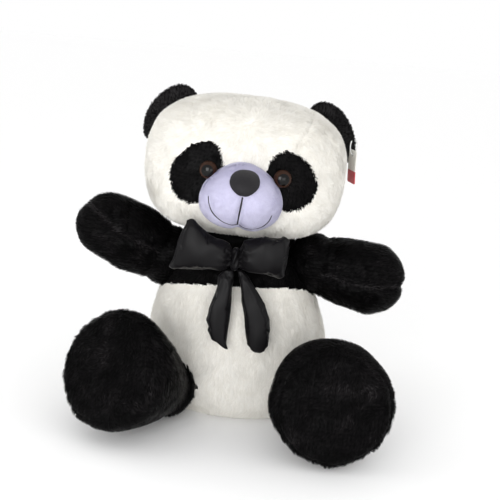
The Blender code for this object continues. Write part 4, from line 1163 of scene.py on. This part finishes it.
# ================================================================ bow
def pillow(rows, columns, place):
    """Two sheets sewn round their edge: place(s, t, side) takes arrays from 0 to 1."""
    s, t = np.meshgrid(np.linspace(0.0, 1.0, rows + 1), np.linspace(0.0, 1.0, columns + 1),
                       indexing="ij")
    edge = (s == 0.0) | (s == 1.0) | (t == 0.0) | (t == 1.0)
    front = place(s, t, np.where(edge, 0.0, 1.0)).reshape(-1, 3)
    back = place(s, t, np.where(edge, 0.0, -1.0)).reshape(-1, 3)
    numbers = np.arange((rows + 1) * (columns + 1)).reshape(rows + 1, columns + 1)
    shared = np.where(edge, numbers, numbers + numbers.size)
    quads = [np.stack([n[:-1, :-1], n[1:, :-1], n[1:, 1:], n[:-1, 1:]], -1).reshape(-1, 4)
             for n in (numbers, shared)]
    quads[1] = quads[1][:, ::-1]
    skin = used_only(np.vstack([front, back]), np.vstack(quads), np.zeros((0, 3), int))
    return outward(*skin)


def puff(s, t, edge=0.5):
    return (np.maximum(np.sin(math.pi * s), 0.0) ** edge) * (np.maximum(np.sin(math.pi * t), 0.0)
                                                             ** edge)


def along(pairs, share):
    table = np.array(pairs)
    return np.interp(share, table[:, 0], table[:, 1])


def satin_pillow(name, body, node, skin, held, pressure, cap):
    points, quads, tris = stuff(skin, held(skin[0]), pressure, 0.06, cap, 6.0)
    folds = 0.9 * MM * noise(points * np.array((1.0, 1.0, 0.45)), 9.0 * MM, 91)
    points = points + point_normals(points, quads, tris) * folds[:, None]
    show(mesh_object(name, points, quads, tris, [SATIN]), body, (node,))


def build_bow():
    knot = middle("bow_knot")
    low_box, high_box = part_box("bow_knot")
    half = np.array((high_box - low_box) / 2.0)
    for side, sign in SIDES:
        root = sign * half[0] * 0.55

        def place(s, t, face):
            low_x = root + (WING_CORNER_LOW[side] * MM - root) * s
            high_x = root + (WING_CORNER_HIGH[side] * MM - root) * s
            blunt = 1.0 - 0.14 * np.clip((s - 0.88) / 0.12, 0.0, 1.0) ** 2
            t = 0.5 + (t - 0.5) * blunt
            low_z = along(WING_UNDER[side], s) * MM
            high_z = along(WING_OVER[side], s) * MM
            x = low_x + (high_x - low_x) * t + sign * 3.5 * MM * np.sin(math.pi * t) * s
            z = low_z + (high_z - low_z) * t
            thick = WING_PUFF * puff(0.12 + 0.88 * s, t, 0.55)
            pleats = np.sin(t * 19.0 + sign) * 1.6 * MM * np.exp(-((s - 0.04) / 0.16) ** 2)
            pleats = pleats + np.sin(t * 8.0 + 1.0) * 0.9 * MM * np.exp(-((s - 0.3) / 0.2) ** 2)
            y = -face * (thick + pleats * puff(0.25 + 0.75 * s, t, 0.3))
            return knot + np.stack([x, y, z], -1)

        skin = pillow(60, 52, place)
        satin_pillow("bow_" + side + "_wing", "neck", "bow_" + side + "_loop", skin,
                     lambda p: np.abs(p[:, 0] - knot[0]) < half[0] + 1.5 * MM, 6.0, 3.0 * MM)

    for side, sign in SIDES:
        outline = np.array(TAIL_OUTLINE[side])

        def place(s, t, face):
            drop = outline[0, 0] + (outline[-1, 0] - outline[0, 0]) * s
            low, high = (np.interp(drop, outline[:, 0], outline[:, k]) for k in (1, 2))
            pleats = np.sin(t * 10.0 + 0.6) * 1.1 * MM * np.exp(-((s - 0.1) / 0.3) ** 2)
            y = -1.0 * MM - TAIL_LEAN_OUT * s \
                - face * (TAIL_PUFF * puff(0.08 + 0.92 * s, t) + pleats * puff(s, t, 0.4))
            return knot + np.stack([(low + (high - low) * t) * MM, y, -drop * MM], -1)

        skin = pillow(72, 26, place)
        satin_pillow("bow_" + side + "_streamer", side + "_tail", "bow_" + side + "_tail", skin,
                     lambda p: p[:, 2] > knot[2] - 15.0 * MM, 4.0, 2.5 * MM)

    polar = np.radians(np.linspace(8.0, 172.0, 40))[:, None]
    turns = around(72)[None, :]
    ridge = 1.0 + 0.10 * np.sin(polar * 4.0 + np.cos(turns) * 2.5 + turns * 2.0)
    rings = knot + np.stack([half[0] * np.sin(polar) ** 0.6 * np.cos(turns) * ridge,
                             half[1] * np.sin(polar) ** 0.6 * np.sin(turns) * ridge,
                             half[2] * np.cos(polar) * np.ones_like(turns)], -1)
    up = np.array((0.0, 0.0, half[2]))
    skin = shell(rings, start=knot + up, end=knot - up)
    show(mesh_object("bow_knot_wrap", *skin, [SATIN]), "neck", ("bow_knot",))


# ================================================================ inner pieces, tag
def build_tag():
    """A swing card with a plain red foot, on its clear loop."""
    hole = pivot("tag_swing")
    out = np.array((math.cos(TAG_TURN), math.sin(TAG_TURN), 0.0))
    across = np.array((-math.sin(TAG_TURN), math.cos(TAG_TURN), 0.0))
    u, v = np.meshgrid(np.linspace(-TAG_HALF_WIDTH, TAG_HALF_WIDTH, 41),
                       np.linspace(TAG_FOOT, TAG_TOP, 61), indexing="ij")
    over_u = np.maximum(np.abs(u) - (TAG_HALF_WIDTH - TAG_CORNER), 0.0)
    over_v = np.maximum(np.maximum(v - (TAG_TOP - TAG_CORNER), (TAG_FOOT + TAG_CORNER) - v), 0.0)
    out_by = np.maximum(np.hypot(over_u, over_v) / TAG_CORNER, 1.0)
    u = u - np.sign(u) * over_u * (1.0 - 1.0 / out_by)
    v = v - np.where(v > 0.0, 1.0, -1.0) * over_v * (1.0 - 1.0 / out_by)
    bow = TAG_BOW * (v / TAG_FOOT) ** 2
    layers = [hole + out * (side * TAG_THICKNESS / 2.0 + bow[..., None]) + across * u[..., None]
              + np.array((0.0, 0.0, 1.0)) * v[..., None] for side in (-1.0, 1.0)]
    count = u.size
    numbers = np.arange(count).reshape(u.shape)
    sheet = np.stack([numbers[:-1, :-1], numbers[1:, :-1], numbers[1:, 1:], numbers[:-1, 1:]],
                     -1).reshape(-1, 4)
    ring = np.concatenate([numbers[:, 0], numbers[-1, 1:], numbers[-2::-1, -1],
                           numbers[0, -2:0:-1]])
    after = np.roll(ring, -1)
    wall = np.stack([ring, after, after + count, ring + count], -1)
    points = np.concatenate([layer.reshape(-1, 3) for layer in layers])
    quads = np.concatenate([sheet[:, ::-1], sheet + count, wall])
    points, quads, tris = outward(points, quads, np.zeros((0, 3), int))
    middles = points[quads].mean(axis=1) - hole
    punched = np.hypot(middles @ across, middles[:, 2]) < TAG_HOLE_RADIUS
    quads, middles = quads[~punched], middles[~punched]
    red = middles[:, 2] < TAG_RED_TOP
    card = mesh_object("tag_sheet", *used_only(points, quads, tris), [CARD, CARD_RED], red)
    show(card, "tag", ("tag_card",))
    for name in ("tag_loop", "left_eye_washer", "right_eye_washer"):
        node = frame["nodes"][name]
        node.data.materials.clear()
        node.data.materials.append(NYLON)


# ================================================================ stage, lights, camera
def build_stage():
    mesh = bpy.data.meshes.new("floor")
    reach = FLOOR_REACH
    mesh.from_pydata([(-reach, -reach, 0.0), (reach, -reach, 0.0), (reach, reach, 0.0),
                      (-reach, reach, 0.0)], [], [(0, 1, 2, 3)])
    floor = bpy.data.objects.new("floor", mesh)
    bpy.context.scene.collection.objects.link(floor)
    mesh.materials.append(shader("pale_floor", (0.995, 0.995, 0.995), 0.9))

    world = bpy.data.worlds.new("studio")
    bpy.context.scene.world = world
    world.use_nodes = True
    world.node_tree.nodes["Background"].inputs["Color"].default_value = (1.0, 1.0, 1.0, 1.0)
    world.node_tree.nodes["Background"].inputs["Strength"].default_value = 1.0

    for name, place, size, energy in LAMPS:
        lamp = bpy.data.lights.new(name, "AREA")
        lamp.size = size
        lamp.energy = energy
        item = bpy.data.objects.new(name, lamp)
        item.location = place
        item.rotation_euler = (LAMP_TARGET - item.location).to_track_quat("-Z", "Y").to_euler()
        bpy.context.scene.collection.objects.link(item)


def build_camera():
    back = Vector((0.0, -math.cos(CAMERA_ELEVATION), math.sin(CAMERA_ELEVATION)))
    right = Vector((1.0, 0.0, 0.0))
    up = back.cross(right)
    across = right * math.cos(CAMERA_ROLL) + up * math.sin(CAMERA_ROLL)
    above = up * math.cos(CAMERA_ROLL) - right * math.sin(CAMERA_ROLL)
    place = Matrix((across, above, back)).transposed().to_4x4()
    place.translation = CAMERA_TARGET + back * CAMERA_DISTANCE
    data = bpy.data.cameras.new("camera")
    data.lens = CAMERA_LENS
    data.sensor_width = CAMERA_SENSOR
    data.clip_start = 0.01
    data.clip_end = 40.0
    camera = bpy.data.objects.new("camera", data)
    camera.matrix_world = place
    bpy.context.scene.collection.objects.link(camera)
    bpy.context.scene.camera = camera
    bpy.context.scene.view_settings.view_transform = "Standard"


build_camera()
build_stage()
build_bow()
build_arms()
build_legs()
build_head()
build_eyes()
build_muzzle()
build_nose()
build_mouth()
build_ears()
build_torso()
build_neck()
build_tag()
